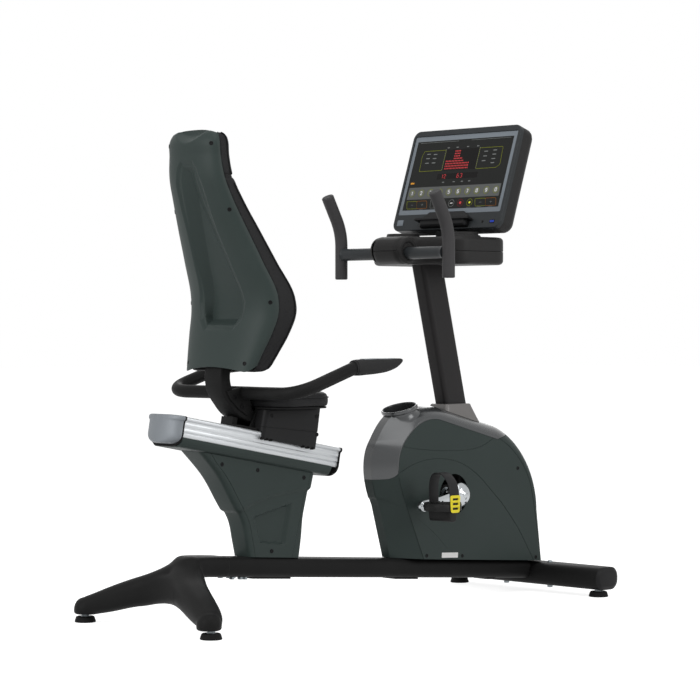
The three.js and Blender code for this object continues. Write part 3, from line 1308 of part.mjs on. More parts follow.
function podUpper() {
  const levels = [[POD_SEAM, 0], [POD_TOP - 12, 0], [POD_TOP - 4, 5], [POD_TOP, 14]];
  const rims = SIDES.map(([, side]) => turned([
    [0, POD_TOP - 4], [CUP_RADIUS + CUP_RIM + 4, POD_TOP - 4], [CUP_RADIUS + CUP_RIM, POD_TOP + 12],
    [CUP_RADIUS + CUP_RIM - 3, POD_TOP + 15], [0, POD_TOP + 15],
  ], 20).translate(CUP_X, side * CUP_Y, 0));
  return cut(join(podLoft(levels), ...rims), ...podCuts());
}

function consoleHandlebar() {
  const handle = (side) => {
    const corners = [[BAR_X, HANDLE_BOTTOM], [BAR_X, HANDLE_BEND], HANDLE_TIP];
    const path = bentPath(corners.map(([x, z]) => v3(x, side * BAR_HALF, z)), [70], 4);
    return swept(circlePoints(TUBE_RADIUS), path, v3(0, 1, 0));
  };
  const across = turnedAcross(disc(TUBE_RADIUS - 0.5, -BAR_HALF, BAR_HALF), [BAR_X, BAR_Z], 14);
  return join(across, handle(1), handle(-1));
}

// The rest of the console is drawn upright: X into the console, Z up its face.
const facePlate = (halfWidth, z0, z1, corner) =>
  roundedShape(2 * halfWidth, z1 - z0, corner, 0, (z0 + z1) / 2);

function consoleBezel() {
  const shape = facePlate(CONSOLE_HALF, 0, CONSOLE_HEIGHT, CONSOLE_CORNER);
  shape.holes.push(facePlate(GLASS_HALF + GAP, GLASS_Z[0] - GAP, GLASS_Z[1] + GAP, 4));
  return crossPlate(shape, 0, BEZEL_DEPTH);
}

function consoleBack() {
  const sections = [
    [BEZEL_DEPTH + GAP, 0], [CONSOLE_DEPTH - 18, 0], [CONSOLE_DEPTH - 8, 4], [CONSOLE_DEPTH, 18],
  ];
  return loft(sections.map(([x, inset]) => roundedPoints(
    2 * (CONSOLE_HALF - inset),
    CONSOLE_HEIGHT - 2 * inset,
    CONSOLE_CORNER - inset / 4,
    4,
  ).map(([y, z]) => v3(x, y, z + CONSOLE_HEIGHT / 2))));
}

function displayGlass() {
  return crossPlate(facePlate(GLASS_HALF, ...GLASS_Z, 3.7), 2.5, BEZEL_DEPTH);
}

// Ledge, back flap and rounded tray that hold a tablet or book.
function tabletRest() {
  const tapered = (bottom, top, z0, z1) =>
    outline([[-bottom, z0], [bottom, z0], [top, z1], [-top, z1]]);
  const flap = tapered(REST_HALF - 6, REST_HALF - 42, 30, 54);
  const ledge = tapered(REST_HALF, REST_HALF - 4, 24, 31);
  const tray = loft([[-GAP, 0], [-12, 2], [-18, 9]].map(([x, inset]) => roundedPoints(
    2 * (REST_HALF - 14 - inset),
    22 - inset,
    5,
  ).map(([y, z]) => v3(x, y, z + 15 + inset / 3))));
  return join(crossPlate(flap, -6, -GAP), crossPlate(ledge, -24, -GAP), tray);
}

// Steel neck between the pod and the console.
function consoleNeck() {
  const tilt = rad(CONSOLE_TILT);
  const under = (x) =>
    CONSOLE_BASE[1] - (x - CONSOLE_BASE[0]) * Math.tan(tilt) - GAP / Math.cos(tilt);
  const [x0, x1] = NECK_X;
  const side = outline([[x0, POD_TOP + GAP], [x1, POD_TOP + GAP], [x1, under(x1)], [x0, under(x0)]]);
  return sidePlate(side, -NECK_HALF, NECK_HALF);
}

piece(bike, 'pod_lower', 'plastic', podLower());
piece(bike, 'pod_upper', 'plastic', podUpper());
piece(bike, 'console_handlebar', 'frame', consoleHandlebar());
piece(bike, 'console_neck', 'frame', consoleNeck());
piece(consoleFrame, 'console_bezel', 'plastic', consoleBezel());
piece(consoleFrame, 'console_back', 'plastic', consoleBack());
piece(consoleFrame, 'display_glass', 'glass', displayGlass());
piece(consoleFrame, 'tablet_rest', 'plastic', tabletRest());

const middle = (STABILISER_X + STABILISER_LENGTH / 2 + REAR_FOOT[0] - TIP_RADIUS) / 2;
bike.position.x = -middle;
bike.updateMatrixWorld(true);

export default bike;
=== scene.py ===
import json
import math
import bmesh
import bpy
import numpy as np
from mathutils import Matrix, Vector


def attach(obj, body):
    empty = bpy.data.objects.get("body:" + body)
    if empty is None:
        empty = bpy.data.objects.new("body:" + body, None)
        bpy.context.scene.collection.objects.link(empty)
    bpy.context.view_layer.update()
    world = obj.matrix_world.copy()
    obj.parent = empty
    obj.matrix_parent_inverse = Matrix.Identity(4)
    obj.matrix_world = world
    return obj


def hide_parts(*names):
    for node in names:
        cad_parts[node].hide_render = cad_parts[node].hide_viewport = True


# A recumbent exercise bike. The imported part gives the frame; this script gives it its looks.
# Shapes are drawn in millimetres about the bike's own drawing point and end up in metres.
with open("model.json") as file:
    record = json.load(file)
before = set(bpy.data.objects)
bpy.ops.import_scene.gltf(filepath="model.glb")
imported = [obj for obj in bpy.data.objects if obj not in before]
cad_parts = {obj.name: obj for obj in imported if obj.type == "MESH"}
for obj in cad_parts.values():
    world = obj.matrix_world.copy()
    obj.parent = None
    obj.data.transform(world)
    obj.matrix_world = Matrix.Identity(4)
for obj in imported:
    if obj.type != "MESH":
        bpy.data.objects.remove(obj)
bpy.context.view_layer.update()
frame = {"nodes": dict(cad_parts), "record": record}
nodes = frame["nodes"]
shiftX = -12.5  # from the drawing point to the middle of the bike, mm
beamHeight, beamSlope = 146, 4.1  # top of the main beam at X 0, and how many degrees it falls towards the front
railStart, railSlope = (-667, 570), 10.3  # top of the seat rail at its rear end, and its fall


def rad(degrees):
    return math.radians(degrees)


def turnY(origin, slope):
    # frame at (x, z) whose X axis falls towards the front by slope degrees
    c, s = math.cos(rad(slope)), math.sin(rad(slope))
    return np.array([[c, 0, s, origin[0]], [0, 1, 0, 0], [-s, 0, c, origin[1]], [0, 0, 0, 1.0]])


beamFrame = turnY((0, beamHeight), beamSlope)
railFrame = turnY(railStart, railSlope)
consoleFrame = turnY((386, 1097), 18.4)


def beamTop(x):
    return beamHeight - x * math.tan(rad(beamSlope))


def railTop(x):
    return railStart[1] - (x - railStart[0]) * math.tan(rad(railSlope))


def moved(points, m):
    # points through a 4x4 matrix, as one array
    p = np.asarray(points, float)
    return p @ m[:3, :3].T + m[:3, 3]


def placed(loop, level, axis=2):
    # a flat loop as points in space: level is the coordinate that it lacks, Z unless axis says X (0) or Y (1)
    return np.insert(np.asarray(loop, float), axis, level, axis=1)


def middling(low, high):
    return (low + high) / 2


def circlePart(radius, angles):
    return np.stack([radius * np.cos(angles), radius * np.sin(angles)], 1)


def roundedLoop(width, height, radius, perCorner):
    # closed rectangle with round corners: four quarter circles, anticlockwise
    r = min(radius, width / 2 - 1e-3, height / 2 - 1e-3)
    angle = np.linspace(0, math.pi / 2, perCorner)
    loops = []
    for k, (sx, sy) in enumerate([(1, 1), (-1, 1), (-1, -1), (1, -1)]):
        a = angle + k * math.pi / 2
        loops.append(circlePart(r, a) + [sx * (width / 2 - r), sy * (height / 2 - r)])
    return np.concatenate(loops)


def circleLoop(radius, count):
    return circlePart(radius, np.arange(count) / count * 2 * math.pi)


def softLine(points, radius, steps=6, closed=False):
    # polyline whose corners are replaced by quadratic curves of about that radius
    p = np.asarray(points, float)
    radii = np.broadcast_to(np.asarray(radius, float), (len(p),))
    t = np.linspace(0, 1, steps)[:, None]
    out = []
    for i, corner in enumerate(p):
        if not closed and i in (0, len(p) - 1):
            out.append(corner[None])
            continue
        before, after = p[i - 1] - corner, p[(i + 1) % len(p)] - corner
        lb, la = np.linalg.norm(before), np.linalg.norm(after)
        reach = min(radii[i], lb * 0.48, la * 0.48)
        if reach < 1e-6:
            out.append(corner[None])
            continue
        a, b = corner + before / lb * reach, corner + after / la * reach
        out.append((1 - t) ** 2 * a + 2 * t * (1 - t) * corner + t ** 2 * b)
    return np.concatenate(out)


def bezierLine(start, segments, steps):
    # start point, then segments: one point is a straight run, three are a cubic curve
    out = [np.array([start], float)]
    t = np.linspace(0, 1, steps + 1)[1:, None]
    for segment in segments:
        a = out[-1][-1]
        q = np.asarray(segment, float)
        if len(q) == 1:
            out.append(a + (q[0] - a) * t)
        else:
            out.append((1 - t) ** 3 * a + 3 * t * (1 - t) ** 2 * q[0]
                       + 3 * t ** 2 * (1 - t) * q[1] + t ** 3 * q[2])
    return np.concatenate(out)


def resampled(line, count, closed=False):
    # points at equal steps along a line
    p = np.asarray(line, float)
    if closed:
        p = np.concatenate([p, p[:1]])
    d = np.concatenate([[0], np.cumsum(np.linalg.norm(np.diff(p, axis=0), axis=1))])
    at = np.linspace(0, d[-1], count + 1)[:-1] if closed else np.linspace(0, d[-1], count)
    return np.stack([np.interp(at, d, p[:, k]) for k in range(p.shape[1])], 1)


def offsetLine(line, distance, closed=False):
    # the line moved to its left by a distance
    p = np.asarray(line, float)
    along = np.roll(p, -1, 0) - np.roll(p, 1, 0)
    if not closed:
        along[0], along[-1] = p[1] - p[0], p[-1] - p[-2]
    along /= np.linalg.norm(along, axis=1, keepdims=True) + 1e-12
    return p + distance * np.stack([-along[:, 1], along[:, 0]], 1)


def skin(rings, caps=True, wrap=True, loop=False):
    # quads between neighbouring rings; caps close the two ends with one face each
    g = np.asarray(rings, float)
    n, m, _ = g.shape
    ids = np.arange(n * m).reshape(n, m)
    a = ids if loop else ids[:-1]
    b = np.roll(ids, -1, 0) if loop else ids[1:]
    if wrap:
        quads = np.stack([a, np.roll(a, -1, 1), np.roll(b, -1, 1), b], -1)
    else:
        quads = np.stack([a[:, :-1], a[:, 1:], b[:, 1:], b[:, :-1]], -1)
    faces = quads.reshape(-1, 4).tolist()
    if caps and wrap and not loop:
        faces += [ids[0][::-1].tolist(), ids[-1].tolist()]
    return g.reshape(-1, 3), faces


def swept(loop2d, path, up=(0, 0, 1), scale=None):
    # a loop carried along a path; its second coordinate stays as near to up as the path lets it
    path = np.asarray(path, float)
    t = np.gradient(path, axis=0)
    t /= np.linalg.norm(t, axis=1, keepdims=True)
    side = np.cross(t, np.asarray(up, float))
    side /= np.linalg.norm(side, axis=1, keepdims=True)
    lift = np.cross(side, t)
    s = np.ones(len(path)) if scale is None else np.asarray(scale, float)
    loop2d = np.asarray(loop2d, float)
    ring = loop2d[None] * s[:, None, None]
    return path[:, None] + ring[..., :1] * side[:, None] + ring[..., 1:] * lift[:, None]


def turned(profile, segments):
    # a profile of (radius, height) turned about Z
    p = np.asarray(profile, float)
    a = np.arange(segments) / segments * 2 * math.pi
    r, z = p[:, :1], p[:, 1:]
    return np.stack([r * np.cos(a), r * np.sin(a), np.broadcast_to(z, (len(p), segments))], -1)


def aboutY(points, centre):
    # what was turned about Z now lies about the Y axis through (x, z); heights become Y
    p = np.asarray(points, float)
    return np.stack([p[..., 0] + centre[0], p[..., 2], p[..., 1] + centre[1]], -1)


def turnedAbout(profile, segments, centre):
    # a profile of (radius, Y) whose ends lie on the axis, turned about the Y axis through (x, z)
    return skin(aboutY(turned(profile, segments), centre), caps=False)


def prism(outline, lowest, highest, plane, bevel=0.0, steps=3):
    # an outline pulled through its plane's normal, with its two rims rounded off by bevel
    o = np.asarray(outline, float)
    area = np.sum(o[:, 0] * np.roll(o[:, 1], -1) - np.roll(o[:, 0], -1) * o[:, 1])
    inward = 1.0 if area > 0 else -1.0
    axis = {"yz": 0, "xz": 1, "xy": 2}[plane]
    angles = np.linspace(0, math.pi / 2, steps + 1) if bevel else np.array([math.pi / 2])
    rings = []
    for end, into, order in ((lowest, bevel, angles), (highest, -bevel, angles[::-1])):
        for angle in order:
            rim = offsetLine(o, inward * bevel * (1 - math.sin(angle)), True)
            rings.append(placed(rim, end + into * (1 - math.cos(angle)), axis))
    return np.array(rings)


def linked(name, data):
    # a new object in the scene
    obj = bpy.data.objects.new(name, data)
    bpy.context.scene.collection.objects.link(obj)
    return obj


def meshObject(name, shapes):
    # one mesh in metres from a list of (points, faces) in drawing millimetres
    points, faces, base = [], [], 0
    for p, f in shapes:
        points.append(np.asarray(p, float))
        faces += [[i + base for i in face] for face in f]
        base += len(p)
    co = (np.concatenate(points) + [shiftX, 0, 0]) * 0.001
    mesh = bpy.data.meshes.new(name)
    mesh.from_pydata(co.tolist(), [], faces)
    bm = bmesh.new()
    bm.from_mesh(mesh)
    bmesh.ops.remove_doubles(bm, verts=bm.verts, dist=2e-6)
    bmesh.ops.recalc_face_normals(bm, faces=bm.faces)
    bm.to_mesh(mesh)
    bm.free()
    return linked(name, mesh)


def flipY(shape, shift=(0, 0, 0)):
    # the mirror image across the middle plane, moved on by shift
    p, f = shape
    return np.asarray(p, float) * [1, -1, 1] + shift, [face[::-1] for face in f]


def mirrored(mesh, name, shift=(0, 0, 0)):
    # the same for a finished mesh, which becomes an object
    co = np.empty(len(mesh.vertices) * 3)
    mesh.vertices.foreach_get("co", co)
    co = co.reshape(-1, 3) * [1, -1, 1] + np.array(shift) * 0.001
    mesh.vertices.foreach_set("co", co.ravel())
    mesh.flip_normals()
    return linked(name, mesh)


def shaded(obj, angle):
    obj.data.shade_smooth()
    obj.data.set_sharp_from_angle(angle=rad(angle))
    return obj


def bevelled(obj, width, segments=2):
    # small round edges, in millimetres
    m = obj.modifiers.new("softEdges", "BEVEL")
    m.width = width * 0.001
    m.segments = segments
    m.limit_method = "ANGLE"
    m.angle_limit = rad(32)
    m.harden_normals = True
    m.use_clamp_overlap = True
    obj.data.shade_smooth()
    return obj


def applied(obj):
    # bakes an object's modifiers into its mesh
    bpy.context.view_layer.update()
    graph = bpy.context.evaluated_depsgraph_get()
    mesh = bpy.data.meshes.new_from_object(obj.evaluated_get(graph))
    obj.modifiers.clear()
    old = obj.data
    obj.data = mesh
    bpy.data.meshes.remove(old)
    return obj


def carved(obj, tool, operation="DIFFERENCE", solver="MANIFOLD"):
    # a boolean with a tool that is gone afterwards
    m = obj.modifiers.new("cut", "BOOLEAN")
    m.operation = operation
    m.solver = solver
    m.object = tool
    applied(obj)
    bpy.data.objects.remove(tool)


def remeshed(obj, voxel, smoothing):
    # one closed skin around everything in the mesh, on a grid of voxel mm, then smoothed
    m = obj.modifiers.new("oneSkin", "REMESH")
    m.mode = "VOXEL"
    m.voxel_size = voxel * 0.001
    s = obj.modifiers.new("calm", "SMOOTH")
    s.factor = 0.5
    s.iterations = smoothing
    applied(obj)
    obj.data.shade_smooth()


def thickened(obj, millimetres, offset):
    m = obj.modifiers.new("wall", "SOLIDIFY")
    m.thickness = millimetres * 0.001
    m.offset = offset
    return applied(obj)


def cadCopy(name, newName):
    # a merged copy of a CAD node's mesh, with flat areas made one face each
    obj = linked(newName, nodes[name].data.copy())
    obj.data.materials.clear()
    bm = bmesh.new()
    bm.from_mesh(obj.data)
    bmesh.ops.remove_doubles(bm, verts=bm.verts, dist=1e-5)
    bmesh.ops.dissolve_limit(bm, angle_limit=rad(0.6), verts=bm.verts, edges=bm.edges)
    bm.to_mesh(obj.data)
    bm.free()
    return obj


def finished(obj, finish, body, stands=()):
    # material, body and the CAD nodes that the piece stands for
    obj.data.materials.clear()
    obj.data.materials.append(finishes[finish])
    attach(obj, body)
    if stands:
        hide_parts(*stands)
    return obj


def piece(name, shapes, finish, body, stands=(), angle=40):
    # a new mesh, smooth below that angle, with its finish, body and the CAD nodes that it stands for
    return finished(shaded(meshObject(name, shapes), angle), finish, body, stands)


def linear(hexColour):
    # sRGB hex to linear colour
    c = [int(hexColour[i:i + 2], 16) / 255 for i in (1, 3, 5)]
    return [x / 12.92 if x <= 0.04045 else ((x + 0.055) / 1.055) ** 2.4 for x in c] + [1.0]


def addNode(tree, kind, settings=(), links=()):
    # one node with its settings (attributes or sockets) and its incoming links
    node = tree.nodes.new(kind)
    for key, value in dict(settings).items():
        if isinstance(key, int) or (isinstance(key, str) and key in node.inputs and not hasattr(node, key)):
            node.inputs[key].default_value = value
        else:
            setattr(node, key, value)
    for key, source in dict(links).items():
        tree.links.new(source, node.inputs[key])
    return node


def newMaterial(name):
    m = bpy.data.materials.new(name)
    m.use_nodes = True
    m.node_tree.nodes.clear()
    return m, m.node_tree


def closed(tree, shader):
    # the shader goes to the material's output
    addNode(tree, "ShaderNodeOutputMaterial", links={"Surface": shader.outputs[0]})


def surface(name, light, dark, roughness, grain, depth, metallic=0.0, specular=0.5, patch=120, coat=0.0):
    # a solid finish: colour drifts between two hexes over patches of patch mm, and a fine noise of grain mm moves
    # the roughness and gives a bump of depth (0 to 1)
    m, tree = newMaterial(name)
    where = addNode(tree, "ShaderNodeTexCoord")
    drift = addNode(tree, "ShaderNodeTexNoise", {"Scale": 1000 / patch, "Detail": 3.0, "Roughness": 0.55},
                    {"Vector": where.outputs["Object"]})
    fine = addNode(tree, "ShaderNodeTexNoise", {"Scale": 1000 / grain, "Detail": 2.0, "Roughness": 0.6},
                   {"Vector": where.outputs["Object"]})
    colour = addNode(tree, "ShaderNodeMix", {"data_type": "RGBA", 6: linear(dark), 7: linear(light)},
                     {0: drift.outputs["Fac"]})
    rough = addNode(tree, "ShaderNodeMapRange",
                    {"From Min": 0.3, "From Max": 0.7, "To Min": roughness - 0.05, "To Max": roughness + 0.06},
                    {"Value": fine.outputs["Fac"]})
    bump = addNode(tree, "ShaderNodeBump", {"Strength": depth, "Distance": grain * 0.0004},
                   {"Height": fine.outputs["Fac"]})
    shader = addNode(tree, "ShaderNodeBsdfPrincipled",
                     {"Metallic": metallic, "Coat Weight": coat, "Coat Roughness": 0.22,
                      "Specular IOR Level": specular},
                     {"Base Color": colour.outputs[2], "Roughness": rough.outputs[0], "Normal": bump.outputs[0]})
    closed(tree, shader)
    return m


def leatherette(name, light, dark):
    # pressed vinyl: small rounded pebbles, about 2.4 mm apart, with painted shade darkening the valleys between them
    # and a dull sheen
    m, tree = newMaterial(name)
    where = addNode(tree, "ShaderNodeTexCoord")
    cells = addNode(tree, "ShaderNodeTexVoronoi", {"feature": "SMOOTH_F1", "Scale": 420.0, "Smoothness": 0.7},
                    {"Vector": where.outputs["Object"]})
    drift = addNode(tree, "ShaderNodeTexNoise", {"Scale": 14.0, "Detail": 4.0}, {"Vector": where.outputs["Object"]})
    # painted shade: the colour darkens towards the valleys between the pebbles
    valleyShade = addNode(tree, "ShaderNodeMath", {"operation": "MULTIPLY"},
                      {0: cells.outputs["Distance"], 1: drift.outputs["Fac"]})
    colour = addNode(tree, "ShaderNodeMix", {"data_type": "RGBA", 6: linear(light), 7: linear(dark)},
                     {0: valleyShade.outputs[0]})
    rough = addNode(tree, "ShaderNodeMapRange", {"From Min": 0.0, "From Max": 0.8, "To Min": 0.42, "To Max": 0.66},
                    {"Value": cells.outputs["Distance"]})
    bump = addNode(tree, "ShaderNodeBump", {"Strength": 0.5, "Distance": 0.0004, "invert": True},
                   {"Height": cells.outputs["Distance"]})
    shader = addNode(tree, "ShaderNodeBsdfPrincipled", {"Specular IOR Level": 0.14},
                     {"Base Color": colour.outputs[2], "Roughness": rough.outputs[0], "Normal": bump.outputs[0]})
    closed(tree, shader)
    return m


def glowing(name, hexColour, strength):
    # a lit mark on the display: its own light plus a dark glossy base
    m, tree = newMaterial(name)
    where = addNode(tree, "ShaderNodeTexCoord")
    noise = addNode(tree, "ShaderNodeTexNoise", {"Scale": 900.0}, {"Vector": where.outputs["Object"]})
    glow = addNode(tree, "ShaderNodeMapRange", {"To Min": 0.85 * strength, "To Max": 1.15 * strength},
                   {"Value": noise.outputs["Fac"]})
    shader = addNode(tree, "ShaderNodeBsdfPrincipled",
                     {"Base Color": linear(hexColour), "Roughness": 0.35, "Emission Color": linear(hexColour)},
                     {"Emission Strength": glow.outputs[0]})
    closed(tree, shader)
    return m


finishes = {
    # satin powder coat on steel: near black, a fine orange peel, soft highlights
    "blackPaint": surface("satin_black_powder_coat", "#1f1f1f", "#191919", 0.5, 1.6, 0.12, specular=0.06),
    # moulded ABS covers: dark green-grey with a fine spark texture
    "coverAbs": surface("green_grey_textured_abs", "#323b39", "#2b3432", 0.47, 1.1, 0.16, specular=0.15, patch=260),
    # metallic lacquer on ABS: smooth, wet-looking grey
    "lacquer": surface("metallic_grey_lacquered_abs", "#3f4143", "#363839", 0.24, 0.5, 0.03, metallic=0.35, patch=300,
                       coat=0.5),
    "bootAbs": surface("warm_grey_moulded_abs", "#6c6967", "#646261", 0.36, 1.0, 0.08, metallic=0.15, patch=200),
    # clear anodised extrusion: bright, with a fine even grain
    "extrusion": surface("anodised_aluminium_extrusion", "#cdd0d2", "#c0c3c6", 0.34, 1.2, 0.03, metallic=0.4,
                         patch=180),
    "silverAbs": surface("silver_grey_painted_abs", "#797e83", "#70757a", 0.5, 0.9, 0.05, metallic=0.25, patch=150),
    "blackAbs": surface("black_moulded_abs", "#1a1a1b", "#151516", 0.5, 1.2, 0.14, specular=0.14),
    "padBlack": surface("black_coated_steel_plate", "#1a1a1b", "#151516", 0.45, 1.5, 0.12, specular=0.14),
    "softRubber": surface("black_rubber", "#161616", "#111111", 0.72, 1.4, 0.2, specular=0.12),
    "gripRubber": surface("black_foam_rubber", "#272727", "#202021", 0.62, 1.3, 0.25, specular=0.15),
    "nickel": surface("zinc_plated_steel", "#868c8f", "#777d80", 0.32, 0.9, 0.1, metallic=1.0, patch=30),
    "chromePlate": surface("chrome_plated_steel", "#b4b7b9", "#a4a8aa", 0.16, 2.5, 0.02, metallic=1.0, patch=60),
    "castIron": surface("turned_cast_iron", "#5f6264", "#55585a", 0.5, 2.0, 0.3, metallic=0.8, patch=40),
    "yellowAbs": surface("yellow_moulded_acetal", "#eddc2e", "#e2d128", 0.38, 1.0, 0.06, specular=0.3),
    "consoleAbs": surface("charcoal_moulded_abs", "#2f3234", "#292c2e", 0.4, 1.0, 0.1, specular=0.16, patch=200),
    "consoleDark": surface("black_textured_abs", "#252424", "#1f1f1f", 0.5, 1.1, 0.14, specular=0.15, patch=160),
    "mastPaint": surface("satin_charcoal_powder_coat", "#262425", "#201f1f", 0.45, 1.5, 0.12, specular=0.14),
    "pedalAbs": surface("dark_moulded_nylon", "#1b1b1b", "#161616", 0.48, 1.2, 0.16, specular=0.16),
    "strapRubber": surface("black_moulded_strap", "#212122", "#1a1a1b", 0.55, 1.4, 0.2, specular=0.16),
    "gripGrey": surface("grey_foam_grip", "#403f40", "#383738", 0.55, 1.2, 0.2, specular=0.16),
    "barPaint": surface("slate_powder_coat", "#303335", "#2a2d2f", 0.4, 1.5, 0.1, specular=0.18),
    "borderGrey": surface("grey_printed_border", "#757c83", "#6d747b", 0.35, 0.8, 0.04, specular=0.25),
    "screenBlack": surface("dark_printed_screen", "#1c1d1c", "#171817", 0.3, 0.6, 0.02, specular=0.12),
    "ledBlack": surface("black_display_window", "#0b0909", "#080707", 0.25, 0.6, 0.02, specular=0.12),
    "keyBand": surface("grey_key_band", "#585a59", "#515352", 0.45, 0.8, 0.04, specular=0.2),
    "keyGrey": surface("grey_membrane_key", "#6a6c69", "#626461", 0.45, 0.8, 0.05, specular=0.2),
    "lineYellow": surface("yellow_green_print", "#7b8121", "#6f751c", 0.5, 0.8, 0.02, specular=0.1),
    "lineOrange": surface("orange_print", "#8a551b", "#7d4c17", 0.5, 0.8, 0.02, specular=0.1),
    "markWhite": surface("white_print", "#e6e6e4", "#dadad8", 0.5, 0.8, 0.02, specular=0.2),
    "markDim": surface("pale_grey_print", "#7f8281", "#737675", 0.5, 0.8, 0.02, specular=0.1),
    "orangeMark": surface("amber_print", "#d8983a", "#cc8c32", 0.5, 0.8, 0.02, specular=0.1),
    "usbBlue": surface("blue_socket_plastic", "#2440b4", "#1e38a4", 0.4, 0.8, 0.04, specular=0.2),
    "redLed": glowing("red_light", "#b81d24", 0.12),
    "redDim": surface("red_print", "#7c1c1f", "#6e181b", 0.5, 0.8, 0.02, specular=0.1),
    "yellowLed": glowing("yellow_green_light", "#c2c420", 0.3),
    "labelWhite": surface("blank_white_label", "#e8e8e6", "#dededc", 0.5, 0.8, 0.03),
    "vinyl": leatherette("black_grained_vinyl", "#1c1c1d", "#141415"),
    # sunk screws: black, and darker still so their colour also paints the shade of the holes they sit in
    "screwShadeBlack": surface("black_screw_painted_hole_shade", "#0e0e0f", "#0a0a0b", 0.5, 0.8, 0.1, specular=0.1),
}


view = {
    "camera": (-5.02614452, -5.25134898, 0.82646431), "down": 0.670, "turn": 43.676, "lens": 130.24,
    # name: place, aimed at, size in metres, power in watts
    "lamps": {
        "overheadSoftbox": ((-1.2, -1.6, 4.2), (0, 0, 0.4), 3.2, 70),
        "cameraLeftSoftbox": ((-5.2, 0.2, 2.4), (0, 0, 0.7), 2.6, 115),
        "cameraRightSoftbox": ((1.6, -5.0, 2.2), (0, 0, 0.7), 2.2, 72),
        "backRim": ((3.6, 3.4, 2.8), (0, 0, 0.8), 2.4, 40),
    },
    "room": 0.42, "floorGlow": 0.82, "floorSize": 30,
}


def seenDirectly(tree):
    # 1 for camera, transmission and glossy rays, 0 for the light that falls on the bike
    ray = addNode(tree, "ShaderNodeLightPath")
    seen = ray.outputs["Is Camera Ray"]
    for kind in ("Is Transmission Ray", "Is Glossy Ray"):
        seen = addNode(tree, "ShaderNodeMath", {"operation": "MAXIMUM"}, {0: seen, 1: ray.outputs[kind]}).outputs[0]
    return seen


def studio():
    scene = bpy.context.scene
    scene.view_settings.view_transform = "Standard"
    camera = linked("camera", bpy.data.cameras.new("camera"))
    camera.location = view["camera"]
    camera.rotation_euler = (rad(90 - view["down"]), 0, -rad(view["turn"]))
    camera.data.lens = view["lens"]
    camera.data.sensor_width = 36
    scene.camera = camera
    for name, (place, aim, size, power) in view["lamps"].items():
        data = bpy.data.lights.new(name, "AREA")
        data.size = size
        data.energy = power
        lamp = linked(name, data)
        lamp.location = place
        lamp.rotation_euler = (Vector(aim) - Vector(place)).to_track_quat("-Z", "Y").to_euler()
    world = bpy.data.worlds.new("paleRoom")
    scene.world = world
    world.use_nodes = True
    tree = world.node_tree
    tree.nodes.clear()
    level = addNode(tree, "ShaderNodeMapRange", {"To Min": view["room"], "To Max": 1.0}, {"Value": seenDirectly(tree)})
    room = addNode(tree, "ShaderNodeBackground", {"Color": (1, 1, 1, 1)}, {"Strength": level.outputs[0]})
    addNode(tree, "ShaderNodeOutputWorld", links={"Surface": room.outputs[0]})
    # floor: white where the camera sees it, with the object's soft shadow left on it
    s = view["floorSize"]
    mesh = bpy.data.meshes.new("floor")
    mesh.from_pydata([(-s, -s, 0), (s, -s, 0), (s, s, 0), (-s, s, 0)], [], [(0, 1, 2, 3)])
    floor = linked("floor", mesh)
    floor.location.z = -0.0005
    m, tree = newMaterial("pale_floor")
    strength = addNode(tree, "ShaderNodeMath", {"operation": "MULTIPLY", 1: view["floorGlow"]}, {0: seenDirectly(tree)})
    paint = addNode(tree, "ShaderNodeBsdfDiffuse", {"Color": (0.6, 0.6, 0.6, 1)})
    glow = addNode(tree, "ShaderNodeEmission", {"Color": (1, 1, 1, 1)}, {"Strength": strength.outputs[0]})
    closed(tree, addNode(tree, "ShaderNodeAddShader", links={0: paint.outputs[0], 1: glow.outputs[0]}))
    mesh.materials.append(m)


studio()
print("studio ready")


def smoothRows(rows, count):
    # rows of numbers, the first the running one, joined by a Catmull-Rom curve at count equal steps
    r = np.asarray(rows, float)
    at = np.linspace(r[0, 0], r[-1, 0], count)
    slope = np.gradient(r, r[:, 0], axis=0)
    k = np.clip(np.searchsorted(r[:, 0], at, side="right") - 1, 0, len(r) - 2)
    h = (r[k + 1, 0] - r[k, 0])[:, None]
    t = ((at - r[k, 0]) / (r[k + 1, 0] - r[k, 0]))[:, None]
    return ((2 * t ** 3 - 3 * t ** 2 + 1) * r[k] + (t ** 3 - 2 * t ** 2 + t) * h * slope[k]
            + (3 * t ** 2 - 2 * t ** 3) * r[k + 1] + (t ** 3 - t ** 2) * h * slope[k + 1])


def smoothStep(edge0, edge1, value):
    t = np.clip((value - edge0) / (edge1 - edge0), 0, 1)
    return t * t * (3 - 2 * t)


def signedDistance(x, y, outline):
    # distance from each point to a closed outline, positive inside
    o = np.asarray(outline, float)
    p = np.stack([x, y], -1)[..., None, :]
    a, b = o, np.roll(o, -1, 0)
    ab = b - a
    t = np.clip(((p - a) * ab).sum(-1) / ((ab ** 2).sum(-1) + 1e-12), 0, 1)
    near = np.linalg.norm(p - (a + t[..., None] * ab), axis=-1).min(-1)
    px, py = p[..., 0], p[..., 1]
    meets = (b[:, 0] - a[:, 0]) * (py - a[:, 1]) / (b[:, 1] - a[:, 1] + 1e-12) + a[:, 0]
    crosses = ((a[:, 1] > py) != (b[:, 1] > py)) & (px < meets)
    return np.where(crosses.sum(-1) % 2 == 1, near, -near)


def dip(x, z, corners, widths):
    # 0 to 1 inside a convex outline, rising over each edge's own width
    c = np.asarray(corners, float)
    level = np.ones_like(x)
    for k, width in enumerate(widths):
        a, b = c[k], c[(k + 1) % len(c)]
        n = np.array([b[1] - a[1], a[0] - b[0]])
        inside = ((x - a[0]) * n[0] + (z - a[1]) * n[1]) / np.linalg.norm(n)
        level = np.minimum(level, np.clip(inside / width, 0, 1))
    return level


def studded(name, profile, places, body, finish):
    # a turned shape set on many spots, each a point and the direction that it faces
    ring = turned(profile, 20)
    shapes = []
    for point, facing in places:
        w = np.asarray(facing, float) / np.linalg.norm(facing)
        u = np.cross([0, 1, 0] if abs(w[1]) < 0.9 else [1, 0, 0], w)
        u /= np.linalg.norm(u)
        shapes.append(skin(ring @ np.array([u, np.cross(w, u), w]) + point, caps=False))
    return piece(name, shapes, finish, body)


